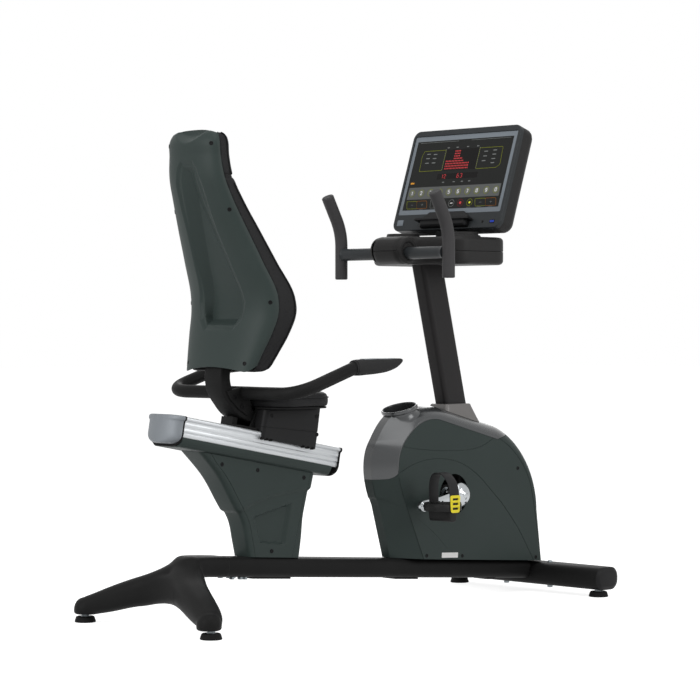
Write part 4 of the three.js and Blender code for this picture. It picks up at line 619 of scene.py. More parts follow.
sunkScrew = [[0, 0.1], [2.6, 0.2], [3.2, 0.8], [5.1, 0.9], [5.7, 0.3], [5.8, -3]]


floorFrame = {
    "beam": (92, 55, 20), "beamEnds": (-590, 722),
    # rear casting, one arm: X, Y, Z of its middle, heading, width, height, corner
    "armStations": [(-490, 0, 153.7, 0, 95.4, 58.4, 21.6), (-562, 0, 158.8, 0, 95.4, 58.4, 22),
                    (-596, 0, 159.5, 0, 96, 60, 24), (-618, -8, 150, 14, 98, 78, 30),
                    (-642, -38, 121, 42, 98, 90, 32), (-665, -80, 101, 58, 92, 86, 30),
                    (-692, -136, 84, 65, 86, 78, 28), (-716, -192, 66, 67, 80, 70, 26),
                    (-736, -238, 52, 68, 74, 58, 24), (-748, -262, 46, 68, 66, 50, 22)],
    # a bridge fills the crotch between the arms, and a round pad ends each arm
    "bridge": [(-688, 104, 90), (-668, 34, 104), (-668, -34, 104), (-688, -104, 90)], "bridgeSection": (60, 80, 26),
    "pad": (-752, 259), "padLine": [[0, 22], [34, 22], [34, 46], [22, 66], [0, 70]],
    # front tube: X and Z of its middle, width, height, corner; a cap's rims: how far in, and Y
    "stabiliser": (762, 55, 98, 68, 30), "tubeHalf": 313,
    "capRims": [(0, 313.3), (0, 313.6), (0.8, 314.4), (9, 319), (10.2, 319.6), (12, 320)],
    # each foot's X and Y, and the radius and height of its base, stud, washer and nut
    "feet": {"rear": (-750, 265), "front": (754, 288)},
    "footBase": [[0, 0], [28.6, 0], [29.4, 2], [25.6, 14.5], [23, 16.4], [0, 16.4]],
    "footStud": [[0, 12], [6, 12], [6, 46], [0, 46]],
    "footWasher": [[0, 16], [14, 16], [14, 17.6], [0, 17.6]], "footNut": (11.5, 17.6, 22.4),
    # under the beam, in its own frame: plates from X to X, nuts at X and Y, Z from and to
    "plates": [(-395, -250), (161, 256), (548, 588)], "plateWidth": 58, "plateLevels": (-59.5, -54.6),
    "nuts": [(x, y) for x in (-467, -437, -420) for y in (-24, 24)], "nutLevels": (-61.5, -54.6),
    "tubeBolts": [-90, 90], "boltDome": [[0, 6.5], [5, 6], [8.5, 2], [8.5, -2]],
}


def floorTube():
    width, height, corner = floorFrame["beam"]
    loop = roundedLoop(width, height, corner, 10)
    x0, x1 = floorFrame["beamEnds"]
    rings = [placed(loop - [0, height / 2], x, 0) for x in (x0 + 22, x1)]
    piece("main_beam_tube", [skin(moved(rings, beamFrame))], "blackPaint", "frame", ["main_beam"], angle=35)


def rearCasting():
    # two arms that split from the beam, a bridge in their crotch and their pads, made one skin
    rows = np.asarray(floorFrame["armStations"], float)
    run = np.concatenate([[0], np.cumsum(np.linalg.norm(np.diff(rows[:, :3], axis=0), axis=1))])
    dense = smoothRows(np.column_stack([run, rows]), 46)[:, 1:]
    rings = []
    for x, y, z, heading, width, height, corner in dense:
        loop = roundedLoop(width, height, corner, 6)
        across = np.array([math.sin(rad(heading)), -math.cos(rad(heading)), 0])
        rings.append(np.array([x, y, z]) - loop[:, :1] * across + loop[:, 1:] * [0, 0, 1])
    arm = skin(np.array(rings))
    px, py = floorFrame["pad"]
    pad = skin(turned(softLine(floorFrame["padLine"], [0, 2, 12, 14, 0]), 40) + [px, -py, 0], caps=False)
    path = resampled(softLine(floorFrame["bridge"], [0, 50, 50, 0], 16), 50)
    bridge = skin(swept(roundedLoop(*floorFrame["bridgeSection"], 8), path))
    obj = meshObject("rear_stabiliser_casting", [arm, flipY(arm), pad, flipY(pad), bridge])
    remeshed(obj, 3, 40)
    finished(obj, "blackPaint", "frame", ["rear_stabiliser"])


def frontTube():
    x, z, width, height, corner = floorFrame["stabiliser"]
    loop = roundedLoop(width, height, corner, 12) + [x, z]
    end = floorFrame["tubeHalf"]
    piece("front_stabiliser_tube", [skin(prism(loop, -end, end, "xz", 0.6))], "blackPaint", "frame",
          ["front_stabiliser"], angle=50)
    cap = skin(np.array([placed(offsetLine(loop, inset, True), y, 1) for inset, y in floorFrame["capRims"]]))
    for shape, name in ((flipY(cap), "right"), (cap, "left")):
        piece("front_cap_" + name, [shape], "blackAbs", "frame", ["front_end_cap_" + name], angle=50)


def levellingFeet():
    base = softLine(floorFrame["footBase"], 1.4, 4)
    stud = softLine(floorFrame["footStud"], 0.4, 2)
    washer = floorFrame["footWasher"]
    radius, *nutLevels = floorFrame["footNut"]
    for end, (x, y) in floorFrame["feet"].items():
        for side, sign in (("right", -1), ("left", 1)):
            place = [x, sign * y, 0]
            body = f"{end}_foot_{side}"
            piece(body + "_pad", [skin(turned(base, 44) + place, caps=False)], "softRubber", body, [body],
                  angle=50)
            metal = [skin(turned(stud, 20) + place, caps=False), skin(turned(washer, 36) + place, caps=False),
                     skin(prism(circleLoop(radius, 6) + place[:2], *nutLevels, "xy", 0.6, 2))]
            piece(body + "_stud", metal, "nickel", body)


def underBeamHardware():
    # flat clamp plates under the beam and the nuts and bolt heads that hold pedestal, housing and stabiliser
    plates = [prism(roundedLoop(x1 - x0, floorFrame["plateWidth"], 5, 4) + [middling(x0, x1), 0],
                    *floorFrame["plateLevels"], "xy", 0.8) for x0, x1 in floorFrame["plates"]]
    piece("under_beam_plates", [skin(moved(p, beamFrame)) for p in plates], "padBlack", "frame")
    shapes = [skin(moved(prism(circleLoop(7.5, 6) + spot, *floorFrame["nutLevels"], "xy", 0.6, 2), beamFrame))
              for spot in floorFrame["nuts"]]
    # two bolts hold the front stabiliser: round heads on top, nuts underneath
    x, z, _, height, _ = floorFrame["stabiliser"]
    dome = turned(softLine(floorFrame["boltDome"], 1.2), 20)
    low, high = z - height / 2, z + height / 2
    for y in floorFrame["tubeBolts"]:
        shapes.append(skin(dome + [x - 4, y, high], caps=False))
        shapes.append(skin(prism(circleLoop(8.5, 6) + [x - 4, y], low - 8, low + 1, "xy", 0.8, 2)))
    piece("beam_nuts", shapes, "nickel", "frame")


floorTube()
rearCasting()
frontTube()
levellingFeet()
underBeamHardware()
print("floor frame ready")


pedestal = {
    # height, half-width, rear X, front X
    "rows": [(150, 44, -413, -223), (221, 45, -429, -212), (274, 45, -443, -206), (333, 45, -481, -191),
             (404, 46, -530, -173), (470, 48, -596, -157), (530, 48, -662, -142)],
    "corner": 18, "step": 6,
    "panel": [(-258, 318), (-285, 204), (-383, 214), (-408, 285)], "panelWidths": [14, 4, 11, 4], "panelDepth": 9,
    # Z and X of two seams, X and Z of the band above the part that steps in
    "rearSeam": [(150, -400), (186, -407), (227, -423), (279, -441), (319, -456), (354, -479), (406, -516),
                 (447, -549), (520, -604)],
    "frontSeam": [(150, -262), (172, -258), (280, -226), (339, -214), (352, -204), (387, -197), (520, -170)],
    "bandTop": [(-660, 262), (-490, 276), (-456, 303), (-404, 323), (-348, 338), (-290, 347), (-203, 352),
                (-140, 353)],
    "seamDepths": (1.1, 0.7), "screws": [(-394, 46.7, 415), (-524, 47.4, 436), (-221, 46.1, 387), (-336, 39.6, 188)],
}


def pedestalSkin():
    # level rings with round corners, their long sides pressed in at the seams, the panel and under the band
    rows = smoothRows(pedestal["rows"], 110)
    seamRear = np.array(pedestal["rearSeam"], float)
    seamFront = np.array(pedestal["frontSeam"], float)
    band = np.array(pedestal["bandTop"], float)
    corner = pedestal["corner"]
    a = np.linspace(0, math.pi / 2, 9)
    rings = []
    for z, half, rear, front in rows:
        xr, xf = np.interp(z, seamRear[:, 0], seamRear[:, 1]), np.interp(z, seamFront[:, 0], seamFront[:, 1])
        xr, xf = max(xr, rear + corner + 3), min(xf, front - corner - 3)
        line = np.concatenate([np.linspace(rear + corner, xr - 1.1, 6), [xr - 0.45, xr + 0.45],
                               np.linspace(xr + 1.1, xf - 1.1, 90), [xf - 0.4, xf + 0.4],
                               np.linspace(xf + 1.1, front - corner, 4)])
        groove = np.zeros(len(line))
        groove[[6, 7]], groove[[98, 99]] = pedestal["seamDepths"]
        sink = pedestal["panelDepth"] * dip(line, np.full(len(line), z), pedestal["panel"], pedestal["panelWidths"])
        rearArc = [rear + corner, corner - half] - circlePart(corner, a)
        frontArc = [front - corner, corner - half] + circlePart(corner, a - math.pi / 2)
        side = np.stack([line, -half + groove + sink], 1)
        right = np.concatenate([rearArc, side[1:-1], frontArc])
        loop = np.concatenate([right, (right * [1, -1])[::-1]])
        # everything under the band stands a little further in
        inset = pedestal["step"] * smoothStep(5, -5, z - np.interp(loop[:, 0], band[:, 0], band[:, 1]))
        endwise = np.clip((loop[:, 0] - middling(rear, front)) / (front - rear) * 2, -1, 1) ** 5
        pull = np.stack([endwise, np.clip(loop[:, 1] / half, -1, 1)], 1)
        rings.append(placed(loop - pull * inset[:, None], z))
    return meshObject("pedestal_skin", [skin(np.array(rings))])


def cutBox(name, low, high, m=None):
    c = np.array([[x, y, z] for x in (low[0], high[0]) for y in (low[1], high[1]) for z in (low[2], high[2])], float)
    if m is not None:
        c = moved(c, m)
    faces = [[0, 1, 3, 2], [4, 6, 7, 5], [0, 4, 5, 1], [2, 3, 7, 6], [0, 2, 6, 4], [1, 5, 7, 3]]
    return meshObject(name, [(c, faces)])


def pedestalCovers():
    obj = pedestalSkin()
    carved(obj, cutBox("under", (-900, -200, -400), (900, 200, 0.4), beamFrame), solver="EXACT")
    carved(obj, cutBox("over", (-300, -200, -83.4), (900, 200, 400), railFrame), solver="EXACT")
    for name, low, high in (("right", 0.15, 200), ("left", -200, -0.15)):
        half = linked("pedestal_cover_" + name + "_skin", obj.data.copy())
        carved(half, cutBox("otherHalf", (-900, low, -400), (900, high, 900)), solver="EXACT")
        finished(shaded(half, 30), "coverAbs", "frame", ["pedestal_cover_" + name])
    bpy.data.objects.remove(obj)
    places = [((x, s * y, z), (0, s, 0)) for x, y, z in pedestal["screws"] for s in (-1, 1)]
    studded("pedestal_screws", sunkScrew, places, "frame", "screwShadeBlack")


rail = {
    "length": 573,
    # right half of the section from the trough outwards: Y and Z
    "section": [(30, -14), (30, -0.2), (31, 0), (64, 0), (69, -1.2), (71.6, -4), (71.6, -8), (69, -11), (65.6, -12),
                (65, -17), (66, -20), (65.4, -26), (63.5, -28.5), (63.2, -30), (64.8, -32), (65.2, -38), (64.4, -41),
                (62.2, -42.6), (62.2, -43.6), (64, -45.4), (63.4, -52), (61.6, -56)],
    # half of the caps' outline down to where their bellies begin, and each belly's drop and half-width
    "endHalf": [(68, 0.6), (72, -1), (73, -5), (73, -9), (71, -12), (67.4, -13.4), (67, -20), (67, -56)],
    "endRounding": [2, 2, 2, 2, 2, 2, 8, 8, 12, 12], "capBelly": (20, 59), "sealBelly": (26, 60), "capReach": 30,
    "screw": [[0, -1.2], [1.8, -1.2], [1.8, 1.0], [3.4, 1.1], [4.2, 0.3], [4.2, -2]],
    "screws": [(y, z) for y in (-58, 0, 58) for z in (-24, -50)],
    # the channel that carries the rail, half of its section
    "channelHalf": [(63.5, -56.2), (63.5, -66), (57, -78), (48, -83)], "channelBends": [0, 8, 10, 10],
}


def endOutline(drop, side):
    # the rail's end with a belly under it that hangs down by drop
    half = [*rail["endHalf"], (side, -56 - drop * 0.55), (side - 20, -56 - drop)]
    bends = rail["endRounding"]
    return resampled(softLine([*half, *[(-y, z) for y, z in half[::-1]]], bends + bends[::-1], 5, True), 180, True)


def seatRail():
    right = softLine(rail["section"], 1.0, 4)
    section = np.concatenate([right, (right * [-1, 1])[::-1]])
    rings = prism(section, 0, rail["length"], "yz", 0.5, 2)
    piece("seat_rail_extrusion", [skin(moved(rings, railFrame))], "extrusion", "frame", ["seat_rail"],
          angle=28)
    # rear cap: the rail's outline pulled backwards into an ellipse in plan, its rim rounded
    outline = endOutline(*rail["capBelly"])
    rings = []
    for t in np.linspace(0, 1, 26):
        reach = -6.4 - rail["capReach"] * math.sin(t * math.pi / 2)
        ring = placed(outline * [max(math.cos(t * math.pi / 2), 0.02), 1], reach, 0)
        rounding = 3.5 * (1 - math.sqrt(max(1 - t ** 6, 0)))
        ring[:, 2] = -36 + (ring[:, 2] + 36) * (1 - rounding / 40)
        rings.append(ring)
    piece("rail_end_cap", [skin(moved(np.array(rings), railFrame))], "silverAbs", "frame", ["rail_cap_rear"],
          angle=50)
    seal = endOutline(*rail["sealBelly"])
    end = rail["length"]
    for name, node, x0, x1 in (("rail_rear_seal", "rail_seal_rear", -6.0, -0.4),
                               ("rail_front_seal", "rail_cap_front", end + 0.4, end + 6)):
        piece(name, [skin(moved(prism(seal, x0, x1, "yz", 0.8, 2), railFrame))], "softRubber", "frame", [node])
    spots = [(moved([end + 6, y, z], railFrame), railFrame[:3, 0]) for y, z in rail["screws"]]
    studded("rail_front_screws", rail["screw"], spots, "frame", "nickel")
    # channel under the rail: one bent sheet with round lower corners
    half, bends = rail["channelHalf"], rail["channelBends"]
    channel = softLine([*half, *[(-y, z) for y, z in half[::-1]]], bends + bends[::-1], 6)
    rings = prism(channel, 0.4, end - 18, "yz", 1.5, 3)
    obj = shaded(meshObject("rail_channel_sheet", [skin(moved(rings, railFrame))]), 40)
    carved(obj, cutBox("webway", (108, -24.3, -90), (486, 24.3, -66), railFrame), solver="EXACT")
    finished(shaded(obj, 40), "coverAbs", "frame", ["rail_channel"])


pedestalCovers()
seatRail()
print("pedestal and rail ready")

seat = {
    # backrest arm: its middle line, the reach of each bend, and depth, width and corner of its section
    "armPath": [(-385, 0, 558), (-446, 0, 578), (-507, 0, 648), (-481, 0, 777)], "armBends": [0, 26, 43, 0],
    "armSection": (36, 70, 5),
    "gusset": [(-424, 564), (-410, 580), (-411, 600), (-430, 618), (-452, 643), (-500, 634), (-488, 613), (-458, 585)],
    "gussetBends": [3, 5, 5, 5, 3, 4, 4, 4], "gussetLevels": (34, 40),
    "armHead": [(-487, 760), (-467, 760), (-461, 773), (-481, 773)], "armHeadHalf": 33,
    "gussetScrews": [(-472, 617), (-445, 590)],
    "gussetScrew": [[0, -1.2], [3.6, -1.2], [3.6, 1.6], [6.6, 1.9], [7.6, 1.2], [7.6, -1]],
    # handlebar: tube radius, its bends on one side, where it crosses, and how far the tube reaches into the grip
    "tube": 18, "bar": [(-238, 268, 697), (-455, 273, 628)], "barMiddle": (-430, 0, 628), "barReach": [10, 88],
    "gripEnd": (-76, 276, 705), "tubeShare": 0.4,
    "saddle": [(-26, -30), (14, -30), (20, -10), (4, -16), (-18, -4), (-22, 12), (-34, 6)],
    # share of the grip's length, width, height, corner, how far it rises
    "grip": [(0, 43, 43, 19, 0), (0.06, 45, 44, 18, 0), (0.2, 45, 43, 16, 0), (0.45, 44, 41, 14, 0),
             (0.7, 44, 34, 12, 1), (0.9, 42, 22, 9, 6), (0.975, 39, 13, 6, 10), (1, 34, 8, 3.6, 11)],
}


def backrestArm():
    path = softLine(seat["armPath"], seat["armBends"], 16)
    rings = swept(roundedLoop(*seat["armSection"], 5), resampled(path, 60), up=(0, 1, 0))
    piece("backrest_arm_bar", [skin(rings)], "blackPaint", "seat", ["backrest_arm"])
    plate = softLine(seat["gusset"], seat["gussetBends"], 4, True)
    near, far = seat["gussetLevels"]
    head = seat["armHeadHalf"]
    shapes = [prism(plate, near, far, "xz", 0.8), prism(plate, -far, -near, "xz", 0.8),
              prism(seat["armHead"], -head, head, "xz", 0.5)]
    piece("arm_gussets", [skin(s) for s in shapes], "blackPaint", "seat")
    spots = [((x, s * far, z), (0, s, 0)) for x, z in seat["gussetScrews"] for s in (-1, 1)]
    studded("gusset_bolts", seat["gussetScrew"], spots, "seat", "screwShadeBlack")
    # a saddle between the gussets carries the handlebar
    web = np.array(seat["saddle"]) + seat["barMiddle"][::2]
    piece("handlebar_saddle", [skin(prism(web, -near, near, "xz", 0.6))], "blackPaint", "seat")


def seatBar():
    right = np.array(seat["bar"], float) * [1, -1, 1]
    start = right[0]
    end = np.array(seat["gripEnd"], float) * [1, -1, 1]
    inside = start + (end - start) * seat["tubeShare"]
    corners = np.concatenate([[inside], right, [seat["barMiddle"]], (right * [1, -1, 1])[::-1], [inside * [1, -1, 1]]])
    reach = [0, *seat["barReach"], 50, *seat["barReach"][::-1], 0]
    path = resampled(softLine(corners, reach, 24), 260)
    piece("seat_handlebar_tube", [skin(swept(circleLoop(seat["tube"], 30), path))], "blackPaint", "seat",
          ["seat_handlebar"], angle=35)
    axis = (end - start) / np.linalg.norm(end - start)
    across = np.cross([0, 0, 1], axis)
    across /= np.linalg.norm(across)
    lift = np.cross(axis, across)
    rows = smoothRows(seat["grip"], 46)
    rings, top = [], []
    for share, width, height, corner, rise in rows:
        middle = start + (end - start) * share + lift * rise
        loop = roundedLoop(width, height, corner, 8)
        rings.append(middle + loop[:, :1] * across + loop[:, 1:] * lift)
        top.append((middle + lift * height / 2, width))
    body = skin(np.array(rings))
    # a bright plate let into the top of the grip, with two contact strips
    plate = []
    for k in range(8, 40):
        at, width = top[k]
        fade = 1 - 0.25 * ((k - 24) / 16) ** 4
        loop = roundedLoop(width * 0.62 * fade, 3.0, 1.4, 4)
        plate.append(at + loop[:, :1] * across + (loop[:, 1:] - 0.3) * lift)
    plate = skin(np.array(plate))
    collar = skin(swept(circleLoop(21.0, 30), np.linspace(start - axis * 5, start + axis * 1.5, 4)))
    for name, side in (("right", [body, collar, plate]), ("left", [flipY(s) for s in (body, collar, plate)])):
        piece("hand_grip_" + name, side[:2], "gripRubber", "seat", ["seat_grip_" + name], angle=50)
        piece("grip_plate_" + name, side[2:], "silverAbs", "seat", angle=50)


backrest = {
    # height, X of the shell's edge, half-width, belly behind it, cushion in front of it
    "rows": [(684, -486, 134, 44, 63), (736, -468, 149, 48, 72), (790, -447, 164, 56, 77), (852, -431, 174, 58, 79),
             (890, -433, 173, 58, 76), (986, -472, 154, 54, 65), (1073, -511, 135, 50, 58), (1149, -544, 118, 46, 51),
             (1212, -567, 108, 42, 45), (1270, -575, 101, 37, 44), (1318, -576, 96, 34, 43), (1334, -574, 88, 26, 39)],
    # shell: the arch in its foot (half-width, rise), its thickness, and the crease under its top (Z, rise, half-width)
    "arch": (131, 16), "skin": 3, "crease": (1304, 26, 60), "lean": 0.9, "footCorner": (114, 20), "top": (1341, 11),
    "headSeam": 1215,
    # recess in the shell: its rounded lip and its floor's wall (half-width, Z), how deep both are, the floor's
    # slope at the side (Y, Z to Y, Z) and at its two ends
    "lip": [(26, 1258), (41, 1240), (57, 1190), (65, 1067), (82, 952), (97, 876), (89, 825), (60, 797)],
    "wall": [(22, 1242), (32, 1205), (48, 1107), (65, 997), (79, 887), (77, 845), (56, 813)],
    "depth": 29, "lipDepth": 6, "ramp": (24, 1049, 71, 830), "floorFoot": 830, "topRamp": 1215,
    "screws": [(88, 1301), (114, 1124), (165, 875), (118, 710)],
}
backTable = smoothRows(backrest["rows"], 600)


def backAt(z, column):
    return np.interp(z, backTable[:, 0], backTable[:, column])


def shellSurface(y, z):
    # X of the shell's outside: edge - belly * sin^0.85, where y = half * cos^0.9
    half = backAt(z, 2)
    c = np.clip(np.abs(y) / half, 0, 1) ** (1 / 0.9)
    return roundedTop(backAt(z, 1) - backAt(z, 3) * np.sqrt(1 - c ** 2) ** 0.85, y, z)


def roundedTop(x, y, z):
    # above an arched crease the shell leans forward to its upper edge
    level, rise, half = backrest["crease"]
    crease = level + rise * np.minimum(np.abs(y) / half, 1) ** 2
    return np.minimum(x + backrest["lean"] * np.maximum(z - crease, 0), np.maximum(x, backAt(z, 1) - 9))


def bothSides(half):
    # an outline's right half and its mirror image, as one closed line
    return np.concatenate([half, (half * [-1, 1])[::-1]])


def recessDepth(y, z):
    # a soft lip all round, then a floor that slopes in from the wall
    wall = np.array(backrest["wall"], float)
    outer = signedDistance(np.abs(y), z, bothSides(np.array(backrest["lip"], float)))
    inner = signedDistance(np.abs(y), z, bothSides(wall))
    low, deep = backrest["lipDepth"], backrest["depth"]
    y0, z0, y1, z1 = backrest["ramp"]
    side = np.interp(z, wall[::-1, 1], wall[::-1, 0])
    foot = y0 + (y1 - y0) * (z - z0) / (z1 - z0)
    ramps = [(side - np.abs(y)) / np.maximum(side - foot, 4), (z - wall[-1, 1]) / (backrest["floorFoot"] - wall[-1, 1]),
             (wall[0, 1] - z) / (wall[0, 1] - backrest["topRamp"])]
    level = low + (deep - low) * np.clip(np.min(ramps, axis=0), 0, 1)
    return np.where(inner > 0, level, low * smoothStep(0, 13, outer) * (outer > 0))


def backrestShell():
    a = np.linspace(0, math.pi, 261)
    cosine = np.cos(a)
    side = np.sign(cosine) * np.abs(cosine) ** 0.9
    archHalf, archRise = backrest["arch"]
    base = backrest["rows"][0][0]
    y0 = side * backAt(base, 2)
    foot = base + archRise * np.clip(1 - (y0 / archHalf) ** 2, 0, 1)
    cornerFrom, corner = backrest["footCorner"]
    foot = foot + corner - np.sqrt(corner ** 2 - np.clip(np.abs(y0) - cornerFrom, 0, corner) ** 2)
    top = backrest["top"][0] - backrest["top"][1] * np.abs(side) ** 3
    share = np.linspace(0, 1, 250)[:, None]
    z = foot + (top - foot) * share
    y = backAt(z, 2) * side
    x = backAt(z, 1) - backAt(z, 3) * np.sin(a) ** 0.85
    x = roundedTop(x + recessDepth(y, z), y, z)
    rings = np.stack([x, y, z], -1)
    lid = rings[-1].copy()
    lid[:, 0] = backAt(backrest["rows"][-1][0], 1) - 2
    rings = np.concatenate([rings, lid[None]])
    obj = meshObject("backrest_rear_shell", [skin(rings, wrap=False)])
    # the wall grows inwards, whichever way the open skin's faces point
    facing = np.empty(len(obj.data.polygons) * 3)
    obj.data.polygons.foreach_get("normal", facing)
    thickened(obj, backrest["skin"], -1 if facing[::3].sum() < 0 else 1)
    finished(shaded(obj, 38), "coverAbs", "seat", ["backrest_shell"])
    places = []
    for y, z in backrest["screws"]:
        for s in (-1, 1):
            x = float(shellSurface(s * y, z))
            dy = float(shellSurface(s * y + 2, z) - shellSurface(s * y - 2, z)) / 4
            dz = float(shellSurface(s * y, z + 2) - shellSurface(s * y, z - 2)) / 4
            places.append(((x, s * y, z), (-1, dy, dz)))
    studded("shell_screws", sunkScrew, places, "seat", "screwShadeBlack")


pads = {
    "backSwell": 7, "seatSwell": 8, "voxel": 5, "pressure": 4, "steps": 20, "fill": 0.85,
    "backPiping": 1.6, "seatPiping": 2, "seamGap": 1.2, "backEnds": (15, 4), "headEnds": (4, 13),
    "seatX": (-402, -188), "seatWidth": 300, "seatBase": 588.8, "seatCorner": 62, "pipingRise": 25,
    # seat pad: height above its base and how far in
    "seatRows": [(0, 8), (3, 4), (8, 3), (24, 3), (31, 5), (36, 9), (39, 16), (40.5, 26), (41.5, 44), (42, 64)],
}


def inflated(obj, cap, held):
    # cloth blown up from inside, no point farther than cap mm from where it began
    remeshed(obj, pads["voxel"], 3)
    mesh = obj.data
    start = np.empty(len(mesh.vertices) * 3)
    mesh.vertices.foreach_get("co", start)
    start = start.reshape(-1, 3)
    group = obj.vertex_groups.new(name="held")
    group.add(np.nonzero(held(start * 1000 - [shiftX, 0, 0]))[0].tolist(), 1.0, "REPLACE")
    cloth = obj.modifiers.new("swell", "CLOTH")
    cloth.settings.use_pressure = True
    cloth.settings.uniform_pressure_force = pads["pressure"]
    cloth.settings.effector_weights.gravity = 0
    cloth.settings.vertex_group_mass = "held"
    scene = bpy.context.scene
    for step in range(1, pads["steps"] + 1):
        scene.frame_set(step)
    end = np.empty(len(mesh.vertices) * 3)
    obj.evaluated_get(bpy.context.evaluated_depsgraph_get()).data.vertices.foreach_get("co", end)
    obj.modifiers.remove(cloth)
    obj.vertex_groups.clear()
    scene.frame_set(1)
    # only the part of each move that points outwards is kept
    out = np.empty(len(end))
    mesh.vertices.foreach_get("normal", out)
    out = out.reshape(-1, 3)
    rise = ((end.reshape(-1, 3) - start) * out).sum(1, keepdims=True)
    move = out * np.clip(rise, 0, cap * 0.001)
    mesh.vertices.foreach_set("co", (start + move).ravel())
    mesh.update()
    obj.data.shade_smooth()
    finer = obj.modifiers.new("finer", "SUBSURF")
    finer.levels = finer.render_levels = 1
    applied(obj)


def padFinished(obj, node):
    finished(obj, "vinyl", "seat", [node])


def tucked(radius, away):
    # how far a round end of that radius stands back at a distance from the end
    return radius - math.sqrt(max(radius ** 2 - max(radius - away, 0) ** 2, 0))


def backPad(low, high, name, node, endLow, endHigh):
    # rings across the pad: flat behind, crowned in front, rounded towards both ends
    rings, seam = [], []
    for z in np.linspace(low, high, 60):
        edge, half, depth = backAt(z, 1), backAt(z, 2), backAt(z, 4)
        tuck = tucked(endLow, z - low) + tucked(endHigh, high - z)
        front = edge + depth - tuck - 3
        half = half - 2.0 - tuck * 0.35
        back = edge + 0.6
        loop = roundedLoop(front - edge - 0.6, 2 * half, 15, 7)
        x = loop[:, 0] + (front + edge + 0.6) / 2
        crown = np.clip(1 - (loop[:, 1] / half) ** 2, 0, 1) * 3 * (loop[:, 0] > 0)
        x = np.where(loop[:, 0] < 0, np.minimum(x, back + 1.5 * (1 - (np.abs(loop[:, 1]) > half - 4))), x)
        rings.append(placed(np.stack([x + crown, loop[:, 1]], 1), z))
        seam.append((edge + depth - tuck - 17, half + 1.2, z))
    obj = meshObject(name, [skin(np.array(rings))])
    inflated(obj, pads["backSwell"], lambda p: p[:, 0] < backAt(p[:, 2], 1) + 22)
    padFinished(obj, node)
    return np.array(seam)


def piped(name, path, radius, closed=False):
    # a sewn cord of piping along a seam
    path = np.asarray(path, float)
    if closed:
        path = np.concatenate([path[-2:], path, path[:2]])
    rings = swept(circleLoop(radius, 12), path, up=(0, 0, 1) if closed else (1, 0.2, 0.1))
    piece(name, [skin(rings[2:-2] if closed else rings, loop=closed, caps=not closed)], "vinyl", "seat", angle=35)


def backCushions():
    middle, gap = backrest["headSeam"], pads["seamGap"]
    seam = backPad(687, middle - gap, "backrest_pad", "backrest_cushion", *pads["backEnds"])
    head = backPad(middle + gap, 1333, "head_pad", "head_cushion", *pads["headEnds"])
    # a strip of the same vinyl joins the two pads at the bottom of their seam
    rings = []
    for z in np.linspace(middle - 9, middle + 9, 5):
        edge, half, depth = backAt(z, 1), backAt(z, 2) - 5, backAt(z, 4)
        rings.append(placed(roundedLoop(depth - 9, 2 * half, 13, 7) + [edge + 1.5 + (depth - 9) / 2, 0], z))
    piece("pad_seam_strip", [skin(np.array(rings))], "vinyl", "seat", angle=50)
    for s, side in ((-1, "right"), (1, "left")):
        for line, name in ((seam, "back_piping_"), (head, "head_piping_")):
            piped(name + side, resampled(line, 90)[3:-3] * [1, s, 1], pads["backPiping"])


def seatPad():
    x0, x1 = pads["seatX"]
    base, width, corner = pads["seatBase"], pads["seatWidth"], pads["seatCorner"]
    middle = [middling(x0, x1), 0]
    rings = []
    for rise, inset in smoothRows(pads["seatRows"], 26):
        loop = roundedLoop(x1 - x0 - 2 * inset, width - 2 * inset, max(corner - inset, 12), 9)
        rings.append(placed(loop + middle, base + rise))
    obj = meshObject("seat_pad", [skin(np.array(rings))])
    inflated(obj, pads["seatSwell"], lambda p: p[:, 2] < base + 8)
    padFinished(obj, "seat_cushion")
    path = placed(roundedLoop(x1 - x0 - 5, width - 5, corner - 2.5, 14) + middle, base + pads["pipingRise"])
    piped("seat_piping", path, pads["seatPiping"], True)


carriage = {
    # height, rear X, front X; half-width, rear and front corner, how far the skirt hangs below the rail's top
    "levels": [(420, -424, -214), (500, -410, -198), (583, -391, -185)], "half": 80, "corners": (15, 10),
    "skirt": 19, "seamShare": (0.403, 0.422), "wallShares": [0.972, 0.9625],
    "screws": [(-372, 565), (-205, 558), (-203, 508)], "glides": [(-412, -370), (-262, -214)],
}


